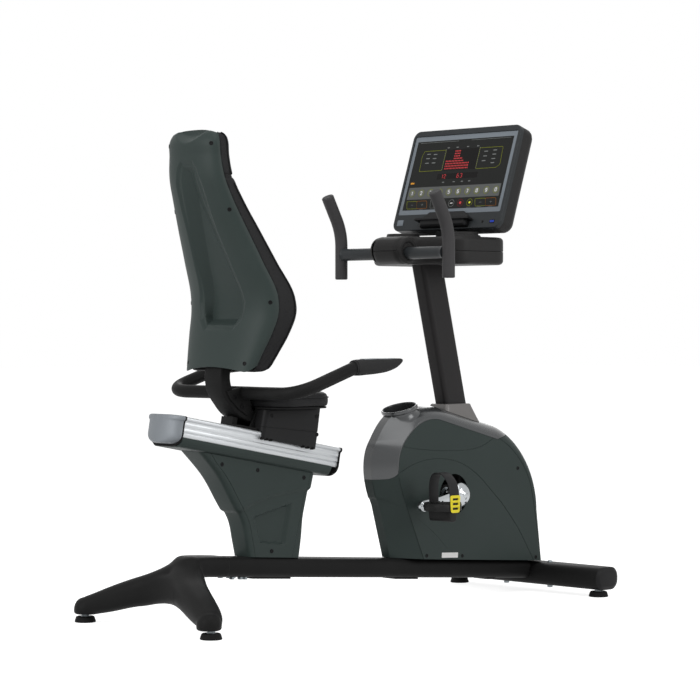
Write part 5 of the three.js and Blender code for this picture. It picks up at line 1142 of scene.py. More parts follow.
def carriageSkirt():
    # rings that start along the sloping rail and end level, with one seam round them
    half = carriage["half"]
    rear, front = carriage["corners"]
    levels = np.array(carriage["levels"], float)
    a = np.linspace(0, math.pi / 2, 10)
    # each corner: end, side, radius, the angle where its arc begins
    corners = ((1, 1, front, 0), (-1, 1, rear, math.pi / 2), (-1, -1, rear, math.pi), (1, -1, front, 1.5 * math.pi))
    end, r, c, y = np.concatenate([np.stack([np.full(10, sx), np.full(10, bend), np.cos(a + turn),
                                             sy * (half - bend) + bend * np.sin(a + turn)], 1)
                                   for sx, sy, bend, turn in corners]).T
    rings = []
    for share in np.concatenate([np.linspace(0, 0.40, 10), [0.405, 0.42, 0.425], np.linspace(0.45, 0.98, 10), [1.0]]):
        z = np.full(len(y), 540.0)
        for _ in range(3):
            xRear, xFront = np.interp(z, levels[:, 0], levels[:, 1]), np.interp(z, levels[:, 0], levels[:, 2])
            x = np.where(end > 0, xFront - r + r * c, xRear + r + r * c)
            low = railTop(x) - carriage["skirt"] / math.cos(rad(railSlope))
            z = low + (levels[-1, 0] - low) * share
        seamLow, seamHigh = carriage["seamShare"]
        shrink = 1 - ((1.0 if seamLow < share < seamHigh else 0.0) + (1.5 if share == 1.0 else 0.0)) / half
        middle = middling(x.min(), x.max())
        rings.append(np.stack([(x - middle) * shrink + middle, y * shrink, z], 1))
    outside = np.array(rings)
    inside = outside.copy()
    inside[..., :2] = (inside[..., :2] - [-305, 0]) * carriage["wallShares"] + [-305, 0]
    inside[0, :, 2] -= 12
    inside[-1, :, 2] += 12
    obj = meshObject("carriage_skirt", [skin(outside)])
    carved(obj, meshObject("skirtInside", [skin(inside)]))
    carved(obj, cutBox("armway", (-440, -42, 480), (-370, 42, 620)))
    carved(obj, cutBox("railway", (-60, -72.7, -120), (640, 72.7, 0.7), railFrame))
    finished(shaded(obj, 40), "blackAbs", "seat", ["carriage_cover"])
    spots = [((x, s * half, z), (0, s, 0)) for x, z in carriage["screws"] for s in (-1, 1)]
    studded("skirt_screws", sunkScrew, spots, "seat", "screwShadeBlack")
    tabs = []
    for x0, x1 in carriage["glides"]:
        for x in np.linspace(x0 + 6, x1 - 6, 3):
            loop = roundedLoop(11, 7, 2, 4) + [x, railTop(x) - carriage["skirt"]]
            tab = skin(prism(loop, -half, -half + 5.5, "xz", 0.6))
            tabs += [tab, flipY(tab)]
    piece("skirt_glides", tabs, "softRubber", "seat")


backrestArm()
seatBar()
backrestShell()
backCushions()
seatPad()
carriageSkirt()
print("seat ready")

housing = {
    "half": 68, "noseHalf": 16, "wall": 3, "windowRadius": 60, "floorLift": 1.2,
    # start, then straight runs (one point) and cubic curves (three), on the side face and along the middle
    "side": ((237, 120), [[(148, 318)], [(120, 385), (116, 440), (160, 485)], [(178, 505), (200, 522), (225, 532)],
                          [(252, 543), (282, 544), (307, 538)], [(545, 475)], [(645, 442), (714, 350), (715, 250)],
                          [(736, 85)]]),
    "middle": ((147, 120), [[(98, 290)], [(58, 372), (62, 440), (92, 478)], [(110, 506), (135, 545), (175, 560)],
                            [(235, 582), (300, 582), (359, 566)], [(562, 514)], [(670, 482), (745, 365), (747, 250)],
                            [(770, 80)]]),
    # where each piece of the outline ends, counted so that the nose ends at 6 and the crown starts at 14
    "indexEnds": [0, 1, 5, 9, 13, 14, 18, 19], "noseEnd": 6, "crownStart": 14,
    "stepHeight": 311, "stepDepth": 3.4,
    "fairingZ": 366, "fairingEnd": 545, "lap": 4,
    # seam grooves on the sides: X and Z; width and depth; those down the nose: Y, inset, top
    "seams": [
        [(130, 464), (212, 452), (294, 445), (364, 443), (427, 444), (469, 450), (505, 462), (541, 481)],
        [(116, 378), (158, 397), (192, 409), (239, 419), (287, 422), (336, 418), (385, 406), (434, 384), (476, 356),
         (519, 319), (566, 278), (606, 236), (646, 189), (680, 139), (712, 92)],
        [(544, 478), (591, 453), (628, 424), (665, 383), (691, 336), (705, 286), (717, 225), (732, 149), (741, 92)],
    ],
    "seamSize": (1.7, 1.3), "faint": [(206, 250), (253, 221), (294, 190), (329, 157)], "faintSize": (1.0, 0.5),
    "noseSeams": [(-67.2, -1.6, 379), (-16.5, -0.1, 361)],
    "screws": [(245, 140), (395, 130), (718, 106), (637, 380)],
    "label": (308, 376, 128, 143), "labelTurn": 3.0,
}
crankAxis = (360, 314)


def housingPath(name, steps):
    start, segments = housing[name]
    return bezierLine(start, segments, steps)


def housingCurves(grow, steps):
    # the outline on the side face, the one along the middle, and how far the crown shape has taken over from the nose
    side = offsetLine(housingPath("side", steps), grow)
    ridge = offsetLine(housingPath("middle", steps), grow)
    index = np.interp(np.arange(len(side)) / steps, np.arange(8), housing["indexEnds"])
    return side, ridge, index, smoothStep(housing["noseEnd"], housing["crownStart"], index)[:, None]


def housingRow(curves, y, half):
    # the outline at one Y: between side and middle by sqrt(1 - (y/half)^2) on the crown, in a straight line on the nose
    side, ridge, _, share = curves
    crown = math.sqrt(max(1 - (y / half) ** 2, 0))
    nose = min((half - abs(y)) / (half - housing["noseHalf"]), 1)
    return side + (ridge - side) * (nose + (crown - nose) * share)


def housingSolid(grow, steps=14):
    # outlines side by side from one face to the other, all standing on a level foot
    curves = housingCurves(grow, steps)
    half = housing["half"] + grow
    a = np.sin(np.linspace(0, math.pi / 2, 22))
    nose = housing["noseHalf"]
    across = np.append(half * a[1:], nose)
    across = np.unique(np.round(np.concatenate([-across, [0], across]), 4))
    foot = 40 + 2 * grow
    rings = []
    for y in across:
        flat = housingRow(curves, y, half)
        # below a line round the nose the surface steps in, less and less towards the sides
        level = housing["stepHeight"] - 34 * max((abs(y) - nose) / (half - nose), 0) ** 1.5
        fade = 1 - 0.85 * smoothStep(nose, half, abs(y))
        sunk = smoothStep(1.2, -1.2, flat[:, 1] - level) * (curves[2] < 5) * fade
        flat = flat + housing["stepDepth"] * sunk[:, None] * [0.96, 0.28]
        flat = np.concatenate([[[flat[0, 0], foot]], flat, [[flat[-1, 0], foot]]])
        rings.append(placed(flat, y, 1))
    return np.array(rings)


def weighted(obj, angle):
    # smooth shading in which large flat faces stay flat
    shaded(obj, angle)
    m = obj.modifiers.new("flatFaces", "WEIGHTED_NORMAL")
    m.keep_sharp = True
    m.weight = 80
    return applied(obj)


def coverOutline(grow):
    # what a side cover takes of the housing: all but the fairing along its top and back
    edge = offsetLine(housingPath("side", 14), -housing["lap"] + grow)
    keep = (edge[:, 1] > housing["fairingZ"] + 20) & (edge[:, 0] < housing["fairingEnd"])
    edge = edge[keep]
    z, end = housing["fairingZ"], housing["fairingEnd"]
    corner = softLine([(0, z + grow), (70, z + grow), (112, z + 2 + grow), (128 - grow, z + 14 + grow), edge[0]],
                      [0, 8, 20, 14, 0], 6)
    right = [(end - grow, 470 + grow), (end + 72 - grow, 486 + grow), (end + 130 - grow, 700), (900, 700)]
    return np.concatenate([corner, edge[1:], right, [(x, beamTop(x) - 16) for x in (900, 0)]])


def grooveRod(line, y, width, depth):
    # a square rod along a line in a side plane, to press a seam groove with
    return skin(swept(roundedLoop(width, depth * 2, 0.2, 2), placed(line, y, 1), up=(0, 1, 0)))


def throughPoints(line):
    # a smooth curve through points: Catmull-Rom
    p = np.asarray(line, float)
    d = np.concatenate([[0], np.cumsum(np.linalg.norm(np.diff(p, axis=0), axis=1))])
    return smoothRows(np.column_stack([d, p]), 90)[:, 1:]


def housingCovers():
    # a hollow shell, cut into two side covers and the strip between them, which is returned
    half = housing["half"]
    shell = meshObject("housing_shell", [skin(housingSolid(0, 70))])
    carved(shell, meshObject("housingInside", [skin(housingSolid(-housing["wall"]))]))
    radius = housing["windowRadius"]
    window = turnedAbout([[0, -90], [radius, -90], [radius, 90], [0, 90]], 72, crankAxis)
    carved(shell, meshObject("crankWindow", [window]))
    under = [(x, beamTop(x) + housing["floorLift"]) for x in (-60, 960)] + [(960, -80), (-60, -80)]
    carved(shell, meshObject("housingFloor", [skin(prism(under, -110, 110, "xz"))]))
    cover = linked("housing_cover_right_skin", shell.data.copy())
    carved(cover, meshObject("coverSide", [skin(prism(coverOutline(-0.5), -110, -0.2, "xz"))]), "INTERSECT")
    lines = [(line, housing["seamSize"]) for line in housing["seams"]] + [(housing["faint"], housing["faintSize"])]
    grooves = [grooveRod(resampled(throughPoints(line), 60), -half, *size) for line, size in lines]
    # two more run down the nose, along its side crease and beside its flat front
    curves = housingCurves(0, 30)
    for y, inset, highest in housing["noseSeams"]:
        row = offsetLine(housingRow(curves, y, half), inset)
        row = row[(curves[2] < 5) & (row[:, 1] < highest) & (row[:, 1] > 118)]
        grooves.append(grooveRod(resampled(row, 50), y, 1.7, 1.0))
    for shape in grooves:
        carved(cover, meshObject("seamTool", [shape]))
    left = mirrored(cover.data.copy(), "housing_cover_left_skin")
    for obj, side in ((cover, "right"), (left, "left")):
        finished(weighted(obj, 30), "coverAbs", "frame", ["housing_cover_" + side])
    carved(shell, meshObject("coverBoth", [skin(prism(coverOutline(0.4), -130, 130, "xz"))]))
    places = [((x, s * half, z), (0, s, 0)) for x, z in housing["screws"] for s in (-1, 1)]
    studded("housing_screws", sunkScrew, places, "frame", "screwShadeBlack")
    x0, x1, z0, z1 = housing["label"]
    centre = (middling(x0, x1), middling(z0, z1))
    label = prism(roundedLoop(x1 - x0, z1 - z0, 1.5, 4) + centre, -half - 0.35, -half + 0.1, "xz")
    label = turnAbout(label, centre, housing["labelTurn"])
    piece("blank_label", [skin(label)], "labelWhite", "frame", angle=35)
    return shell


def turnAbout(rings, centre, degrees):
    # turned in the XZ plane about a point, falling towards the front
    c, s = math.cos(rad(degrees)), math.sin(rad(degrees))
    x, z = rings[..., 0] - centre[0], rings[..., 2] - centre[1]
    out = rings.copy()
    out[..., 0], out[..., 2] = centre[0] + c * x + s * z, centre[1] - s * x + c * z
    return out


cup = {"place": (199, 571), "tilt": 16.4, "radius": 49.5, "depth": 78, "lip": 54.5, "waist": 51, "flare": 12, "wall": 2}


def bottleCup(strip):
    # the strip gets holes for the cup and the mast and becomes the fairing; the cup is a rim and a well
    m = turnY(cup["place"], -cup["tilt"])
    radius, depth, lip, waist = cup["radius"], cup["depth"], cup["lip"], cup["waist"]
    bore = moved(turned([[0, -depth - 1], [radius, -depth - 1], [radius, 60], [0, 60]], 64), m)
    carved(strip, meshObject("cupBore", [skin(bore, caps=False)]))
    carved(strip, mastSolid(1.2, -60, 1000))
    weighted(strip, 35)
    strip.name = "top_fairing_skin"
    finished(strip, "lacquer", "frame", ["top_fairing"])
    # the rim rolls over, narrows to a waist, and its foot flares out to meet the fairing all round
    angles = np.linspace(0, 2 * math.pi, 97)[:-1]
    curves = housingCurves(0, 30)
    back = np.linalg.inv(m)
    lipLine = softLine([[radius - 0.4, -12], [radius, 1.4], [lip - 1.6, 2.4], [lip, -1], [lip - 0.4, -8],
                        [waist, -11.5]], [0, 1.5, 2.0, 2.5, 2.5, 0], 5)
    t = np.linspace(0, 1, 12)[1:, None]
    columns = []
    for angle in angles:
        c, s = math.cos(angle), math.sin(angle)
        levels = []
        for r in (waist, waist + cup["flare"]):
            y = float(np.clip(r * s, -67, 67))
            local = moved(placed(housingRow(curves, y, housing["half"]), y, 1), back)
            upper = local[local[:, 2] > -110]
            levels.append(float(np.interp(r * c, upper[:, 0], upper[:, 2])))
        start, knee = np.array([waist, -11.5]), np.array([waist, min(levels[0], -13.0)])
        end = np.array([waist + cup["flare"], levels[1] - 0.4])
        profile = np.concatenate([lipLine, (1 - t) ** 2 * start + 2 * t * (1 - t) * knee + t ** 2 * end])
        columns.append(np.column_stack([profile[:, 0] * c, profile[:, 0] * s, profile[:, 1]]))
    rim = skin(moved(np.array(columns).transpose(1, 0, 2), m), caps=False)
    piece("bottle_cup_rim", [rim], "lacquer", "frame", angle=60)
    well = softLine([[radius - 0.2, -1.5], [radius - 2.6, -depth + 10], [radius - 10, -depth + 3.2], [0, -depth + 3.2]],
                    [0, 8, 6, 0], 8)
    obj = shaded(meshObject("bottle_cup_well", [skin(moved(turned(well[::-1], 56), m), caps=False)]), 60)
    finished(shaded(thickened(obj, cup["wall"], 0), 60), "lacquer", "frame")


mast = {
    "length": 88, "width": 54, "corner": 14, "foot": (531, 108), "top": (303, 1042),
    # boot: height, rear X, front X, half-width
    "boot": [(579, 363, 467, 34.5), (577.6, 360.5, 469.5, 36.5), (572, 358.5, 471, 38), (540, 351, 489, 43),
             (488, 339, 520, 52)], "bootCorner": 13,
}
mastRun = np.subtract(mast["top"], mast["foot"])
mastFrame = turnY(mast["foot"], math.degrees(math.atan2(*mastRun)))


def mastSolid(grow, low, high):
    loop = roundedLoop(mast["length"] + 2 * grow, mast["width"] + 2 * grow, mast["corner"] + grow, 10)
    return meshObject("mastTool", [skin(moved(prism(loop, low, high, "xy"), mastFrame))])


def mastAndBoot():
    loop = roundedLoop(mast["length"], mast["width"], mast["corner"], 12)
    tube = prism(loop, 24, math.hypot(*mastRun) - 1, "xy", 0.6)
    piece("mast_tube", [skin(moved(tube, mastFrame))], "mastPaint", "frame", ["mast"], angle=50)
    rings = [placed(roundedLoop(x1 - x0, 2 * half, mast["bootCorner"], 8) + [middling(x0, x1), 0], z)
             for z, x0, x1, half in mast["boot"]]
    boot = meshObject("mast_boot_skin", [skin(np.array(rings))])
    carved(boot, mastSolid(0.8, -60, 1000))
    carved(boot, meshObject("housingBody", [skin(housingSolid(0.5))]))
    finished(bevelled(boot, 1.2, 3), "bootAbs", "frame", ["mast_boot"])


bottleCup(housingCovers())
mastAndBoot()
print("housing ready")


drive = {
    "length": 165, "angle": 8.7, "inner": 92, "thick": 18, "hubHalf": 22, "endHalf": 16.5,
    "waist": ((0.25, 17), (0.6, 14)),  # share of the arm's length, half-width
    "pedalY": 174, "pedalWidth": 92, "pedalLength": 104, "strapWidth": 38, "strapTop": 95,
}
crankEnd = np.array(crankAxis) - drive["length"] * np.array([math.cos(rad(drive["angle"])),
                                                              math.sin(rad(drive["angle"]))])


def crankSet():
    axis = np.array(crankAxis)
    cx, cz = crankAxis
    inner, outer = drive["inner"], drive["inner"] + drive["thick"]
    # arm: a bar that narrows from the hub to the pedal, round at both ends
    u = (crankEnd - axis) / drive["length"]
    v = np.array([-u[1], u[0]])
    around = lambda centre, radius, first: centre + circlePart(radius, np.linspace(first, first + math.pi, 18)) @ [u, v]
    waist = [(axis + u * drive["length"] * share, v * half) for share, half in drive["waist"]]
    outline = np.concatenate([around(axis, drive["hubHalf"], math.pi / 2), [at - side for at, side in waist],
                              around(crankEnd, drive["endHalf"], -math.pi / 2),
                              [at + side for at, side in waist[::-1]]])
    arm = skin(prism(outline, -outer, -inner, "xz", 4.5, 5))
    hub = [[0, -outer - 6], [9, -outer - 5.5], [13, -outer - 3], [23, -outer - 0.5], [30, -outer + 5],
           [35.5, -inner - 6], [36, -inner - 2], [36, -inner + 6], [30, -62.5], [0, -62.5]]
    boss = [[0, -outer - 2.5], [11, -outer - 2.5], [13.5, -outer], [13.5, -outer + 4]]
    axle = [[0, -212], [5.8, -212], [5.8, -outer + 2], [0, -outer + 2]]
    cap = [[0, -outer - 7.6], [6, -outer - 7.4], [9, -outer - 6]]
    shapes = [arm, turnedAbout(softLine(hub, [0, 2, 3, 5, 5, 4, 2, 2, 2, 0], 5), 56, crankAxis),
              turnedAbout(softLine(boss, 1, 4), 32, crankEnd), turnedAbout(axle, 24, crankEnd),
              turnedAbout(softLine(cap, 1.5, 4), 32, crankAxis)]
    # the left crank is the right one through its axis and the middle plane: all three axes turned over
    opposite = [(p * [-1, -1, -1] + [2 * cx, 0, 2 * cz], [face[::-1] for face in f]) for p, f in shapes]
    for name, side in (("right", shapes), ("left", opposite)):
        piece("crank_" + name + "_forging", side, "chromePlate", "crank", ["crank_" + name])


def pedalSet():
    x, z = crankEnd + [3, 4]
    y = -drive["pedalY"] - 3
    length, width = drive["pedalLength"], drive["pedalWidth"]
    # cage: a ring with slots along its edge, its upper rim rounded
    outer = roundedLoop(length, width, 38, 12) + [x, y]
    inner = roundedLoop(length - 17, width - 17, 29, 12) + [x, y]
    low, high = z - 13, z + 9
    rim = [(outer, low), (offsetLine(outer, -0.8, True), low + 1.0), (offsetLine(outer, -0.8, True), high - 4),
           (offsetLine(outer, 0.8, True), high - 1.5), (offsetLine(outer, 2.6, True), high),
           (offsetLine(inner, -2.6, True), high), (offsetLine(inner, -0.4, True), high - 2), (inner, low)]
    cage = skin(np.array([placed(loop, level) for loop, level in rim]), caps=False, loop=True)
    # keel: a hanging block, rounded below, with its two ends closed
    section = softLine([(x - 14, z + 9.5), (x + 14, z + 9.5), (x + 15, z - 20), (x + 12, z - 44), (x - 12, z - 44),
                        (x - 15, z - 20)], [3, 3, 6, 10, 10, 6], 7, True)
    near, far = y - width / 2, y + width / 2
    keel = skin(prism(section, near + 3, far - 3, "xz", 2.5, 4))
    bars = [skin(prism(roundedLoop(7, 8, 2.5, 4) + [x + dx, z - 6], near + 7, far - 7, "xz", 0.5)) for dx in (-31, 31)]
    teeth = []
    for k in range(9):
        px = x - 36 + k * 9
        for side in (-1, 1):
            spread = abs(px - x)
            edge = width / 2 - 4.5 - max(spread - 14, 0) ** 2 * 0.012
            teeth.append(skin(prism(roundedLoop(3.4, 4.5, 1.0, 3) + [px, y + side * edge], z + 8, z + 11, "xy", 0.5)))
    shapes = [cage, keel, *bars, *teeth]
    # strap: up the inner side, over the foot and down to the buckle, its free end hanging past it
    half = width / 2 + 0.6
    top = drive["strapTop"]
    sides = softLine([(35, -8), (36, 26), (37, 64), (25, top), (-12, top), (-half * 0.9, 66), (-half - 0.5, 26),
                      (-half, -8)], [0, 20, 24, 26, 30, 30, 20, 0], 14)
    strip = roundedLoop(drive["strapWidth"], 2.8, 1.2, 4)
    band = skin(swept(strip[:, ::-1], placed(resampled(sides, 90) + [y, z], x, 0), up=(1, 0, 0)))
    under = skin(prism(roundedLoop(drive["strapWidth"], 3, 1.2, 4) + [x, z - 10], y - half, y + 36, "xz", 0.5))
    # buckle: a curved ladder plate with three bars
    frameOut = softLine([(x + 20.5, z + 33), (x - 20.5, z + 33), (x - 17, z - 17), (x + 17, z - 17)], 8, 8, True)
    outside = y - half
    plate = meshObject("strap_buckle_right_plate", [skin(prism(frameOut, outside - 4.8, outside - 1.6, "xz", 1.2, 4))])
    for dz in (-13, 0.5, 14):
        window = roundedLoop(23, 6.5, 1.6, 5) + [x, z + 8 + dz]
        carved(plate, meshObject("slot", [skin(prism(window, outside - 12, outside + 3, "xz"))]))
    joinShapes(plate, [skin(prism(circleLoop(2.2, 16) + [outside - 4.4, z + 8 + dz], x - 15, x + 15, "yz"))
                       for dz in (-6.2, 7.4)])
    # the left pedal hangs from the other crank: mirrored, then moved across the crank axis
    shift = [2 * (crankAxis[0] - x), 0, 2 * (crankAxis[1] - z)]
    straps = [band, under]
    left = [flipY(s, shift) for s in shapes], [flipY(s, shift) for s in straps]
    plates = (plate, mirrored(plate.data.copy(), "strap_buckle_left_plate", shift))
    for name, (side, bands), buckle in zip(("right", "left"), ((shapes, straps), left), plates):
        body, strap = "pedal_" + name, "pedal_strap_" + name
        piece(body + "_cage", side, "pedalAbs", body, [body], angle=45)
        piece(strap + "_band", bands, "strapRubber", body, [strap], angle=45)
        finished(shaded(buckle, 40), "yellowAbs", body, ["strap_buckle_" + name])


def joinShapes(obj, shapes):
    # more shapes added to an object's mesh
    extra = meshObject("extra", shapes)
    bm = bmesh.new()
    bm.from_mesh(obj.data)
    bm.from_mesh(extra.data)
    bm.to_mesh(obj.data)
    bm.free()
    bpy.data.objects.remove(extra)


crankSet()
pedalSet()
print("cranks and pedals ready")

console = {
    "half": 222, "height": 323, "corner": 26, "glassHalf": 211, "glass": (51, 304),
    "screenHalf": 198, "screen": (66, 288), "glassDepth": 2.5,
    # front frame: how far in from the outline or the window's edge, and the depth behind the face
    "frameRims": [(0, 15), (0, 3.2), (0.8, 1.2), (2.2, 0.25), (3.6, 0.0)],
    "windowRims": [(-0.7, 0.0), (0, 0.7), (0, 15)],
    # rear shell: depth behind the face, how far in
    "backRows": [(15.8, 0.6), (17.2, 0), (45, 0), (54, 2.2), (62, 7), (66.5, 13), (69, 22)],
    "vents": 9, "ventHalf": 80, "backScrews": [(196, 24, 59), (196, 298, 59), (60, 30, 68), (60, 300, 68)],
}
display = {
    # middle, half-width and the two levels of the windows and the key band
    "matrix": (0, 66, 190, 257), "strip": (0, 83, 162, 180), "band": (0, 190, 100.5, 139),
    # lit dots per column, from the left
    "dotStart": (59, 195.5), "dotPitch": (6.2, 7.9), "dotSize": (3.8, 4.5),
    "dotHeights": [4, 4, 4, 4, 4, 8, 8, 8, 8, 5, 5, 4, 3, 3, 3, 3, 0, 0, 0, 0],
    "stripDigits": [(60, "1"), (51, "2"), (-3, "6"), (-17, "3")],
    "panels": [[(161, 256), (70, 256), (70, 191), (165, 191), (167, 240)],
               [(-70, 256), (-163, 256), (-166, 200), (-152, 190), (-70, 190)]],
    "marks": [(140, 246), (140, 232), (140, 217), (112, 244), (112, 231), (112, 217), (-98, 244), (-98, 229),
              (-96, 214), (-134, 246), (-134, 233), (-134, 219), (-134, 206)],
    "labels": [(62, 263), (25, 263), (-18, 263), (-60, 263), (52, 152), (8, 152), (-26, 152), (-56, 152)],
    "keyFirst": 172, "keyPitch": 38.4, "keyLevel": 120, "keyRadius": 11.5,
    # lower row: level, where its slanting keys start, and its three round keys
    "lowLevel": 83.5, "slants": {"lineYellow": (187, -97), "lineOrange": (145, -139)}, "slantLevels": (94.5, 70.5),
    "minus": [162, 119, -122, -164], "plus": [119, -164], "dashes": [-78, -120, -165, 119], "round": (-3, -40, -78),
    # lines along the top, from Y to Y
    "topLines": [(186, 26), (-26, -188)], "topLevel": 283.5,
}
# strokes of the plain digits on a grid four wide and six high
digits = {
    "1": [[(1, 5), (2.2, 6), (2.2, 0)]],
    "2": [[(0.2, 4.8), (0.6, 6), (3.6, 6), (3.8, 3.9), (0.1, 0), (3.9, 0)]],
    "3": [[(0.2, 5.6), (1.2, 6), (3.7, 6), (3.7, 3.2), (1.6, 3.2)],
          [(1.6, 3.2), (3.9, 3.2), (3.9, 0), (1.0, 0), (0.1, 0.6)]],
    "4": [[(3, 0), (3, 6), (0, 2), (4, 2)]],
    "5": [[(3.7, 6), (0.6, 6), (0.4, 3.4), (3.9, 3.8), (3.9, 0), (0.9, 0), (0.1, 0.6)]],
    "6": [[(3.4, 5.8), (0.2, 6), (0.1, 0), (3.9, 0), (3.9, 3.5), (0.4, 3.5)]],
    "7": [[(0.1, 6), (3.9, 6), (1.6, 0)]],
    "8": [[(2, 3.2), (0.2, 3.2), (0.3, 6), (3.7, 6), (3.8, 3.2), (2, 3.2), (0.1, 3.2), (0, 0), (4, 0), (3.9, 3.2),
           (2, 3.2)]],
    "9": [[(0.6, 0.2), (3.8, 0), (3.9, 6), (0.1, 6), (0.1, 2.5), (3.6, 2.5)]],
    "0": [[(2, 6), (0.1, 6), (0.1, 0), (3.9, 0), (3.9, 6), (2, 6)]],
}


def facePiece(name, outlines, x0, x1, finish, bevel=0.0):
    # flat pieces drawn on the console's face: across and up, from depth x0 to x1
    shapes = [skin(moved(prism(o, x0, x1, "yz", bevel), consoleFrame)) for o in outlines]
    return piece(name, shapes, finish, "frame")


def boxOutline(y, z, width, height, corner):
    return roundedLoop(width, height, corner, 4) + [y, z]


def strokes(lines, width, depth):
    # thin raised lines on the face
    loop = roundedLoop(width, 0.5, 0.15, 2)
    return [skin(moved(swept(loop, placed(line, depth, 0), up=(1, 0, 0)), consoleFrame)) for line in lines]


def digitLines(sign, y, z, width, height):
    # Y runs to the rider's left, so the grid is turned over
    lines = []
    for stroke in digits[sign]:
        p = np.asarray(stroke, float)
        spots = np.column_stack([y + (2 - p[:, 0]) * width / 4, z + (p[:, 1] - 3) * height / 6])
        soft = softLine(spots, width * 0.42, 5)
        lines.append(soft[np.append(True, np.linalg.norm(np.diff(soft, axis=0), axis=1) > 1e-4)])
    return lines


def ringShape(y, z, radius, width, depth):
    # a flat ring on the face
    rings = [(radius, depth), (radius, depth - 0.35), (radius - width, depth - 0.35), (radius - width, depth)]
    grid = np.array([placed(circleLoop(r, 32) + [y, z], level, 0) for r, level in rings])
    return skin(moved(grid, consoleFrame), caps=False, loop=True)


def consoleBody():
    half, height, corner = console["half"], console["height"], console["corner"]
    middle = height / 2
    low, high = console["glass"]
    outer = roundedLoop(2 * half, height, corner, 14) + [0, middle]
    hole = roundedLoop(2 * console["glassHalf"] + 1, high - low + 1, 4.2, 14) + [0, middling(low, high)]
    grid = [placed(offsetLine(loop, inset, True), level, 0)
            for loop, rims in ((outer, "frameRims"), (hole, "windowRims")) for inset, level in console[rims]]
    obj = meshObject("console_front_frame", [skin(moved(grid, consoleFrame), caps=False, loop=True)])
    finished(weighted(obj, 50), "consoleAbs", "frame", ["console_bezel"])
    grid = [placed(roundedLoop(2 * (half - inset), height - 2 * inset, corner - inset / 4, 14) + [0, middle], level, 0)
            for level, inset in console["backRows"]]
    obj = meshObject("console_rear_shell", [skin(moved(grid, consoleFrame))])
    ventHalf = console["ventHalf"]
    slots = [prism(boxOutline(y, 238, 5, 52, 2.4), 66, 76, "yz")
             for y in np.linspace(-ventHalf, ventHalf, console["vents"])]
    slots.append(prism(boxOutline(0, 110, 150, 96, 10), 67.4, 76, "yz"))
    for slot in slots:
        carved(obj, meshObject("vent", [skin(moved(slot, consoleFrame))]))
    finished(weighted(obj, 40), "consoleDark", "frame", ["console_back"])
    spots = [(moved([x, s * y, z], consoleFrame), consoleFrame[:3, 0])
             for y, z, x in console["backScrews"] for s in (-1, 1)]
    studded("console_screws", sunkScrew, spots, "frame", "screwShadeBlack")
    glass = roundedLoop(2 * console["glassHalf"], high - low, 3.7, 6) + [0, middling(low, high)]
    depth = console["glassDepth"]
    obj = facePiece("display_border", [glass], depth, 14.5, "borderGrey", 0.4)
    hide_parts("display_glass")
    low, high = console["screen"]
    screen = boxOutline(0, middling(low, high), 2 * console["screenHalf"], high - low, 1.5)
    facePiece("display_screen", [screen], depth - 0.25, depth + 1, "screenBlack")


def windowOutline(key, corner):
    y, half, low, high = display[key]
    return boxOutline(y, middling(low, high), 2 * half, high - low, corner)


def closedLoop(outline, radius, steps):
    line = softLine(outline, radius, steps, True)
    return np.concatenate([line, line[:1]])


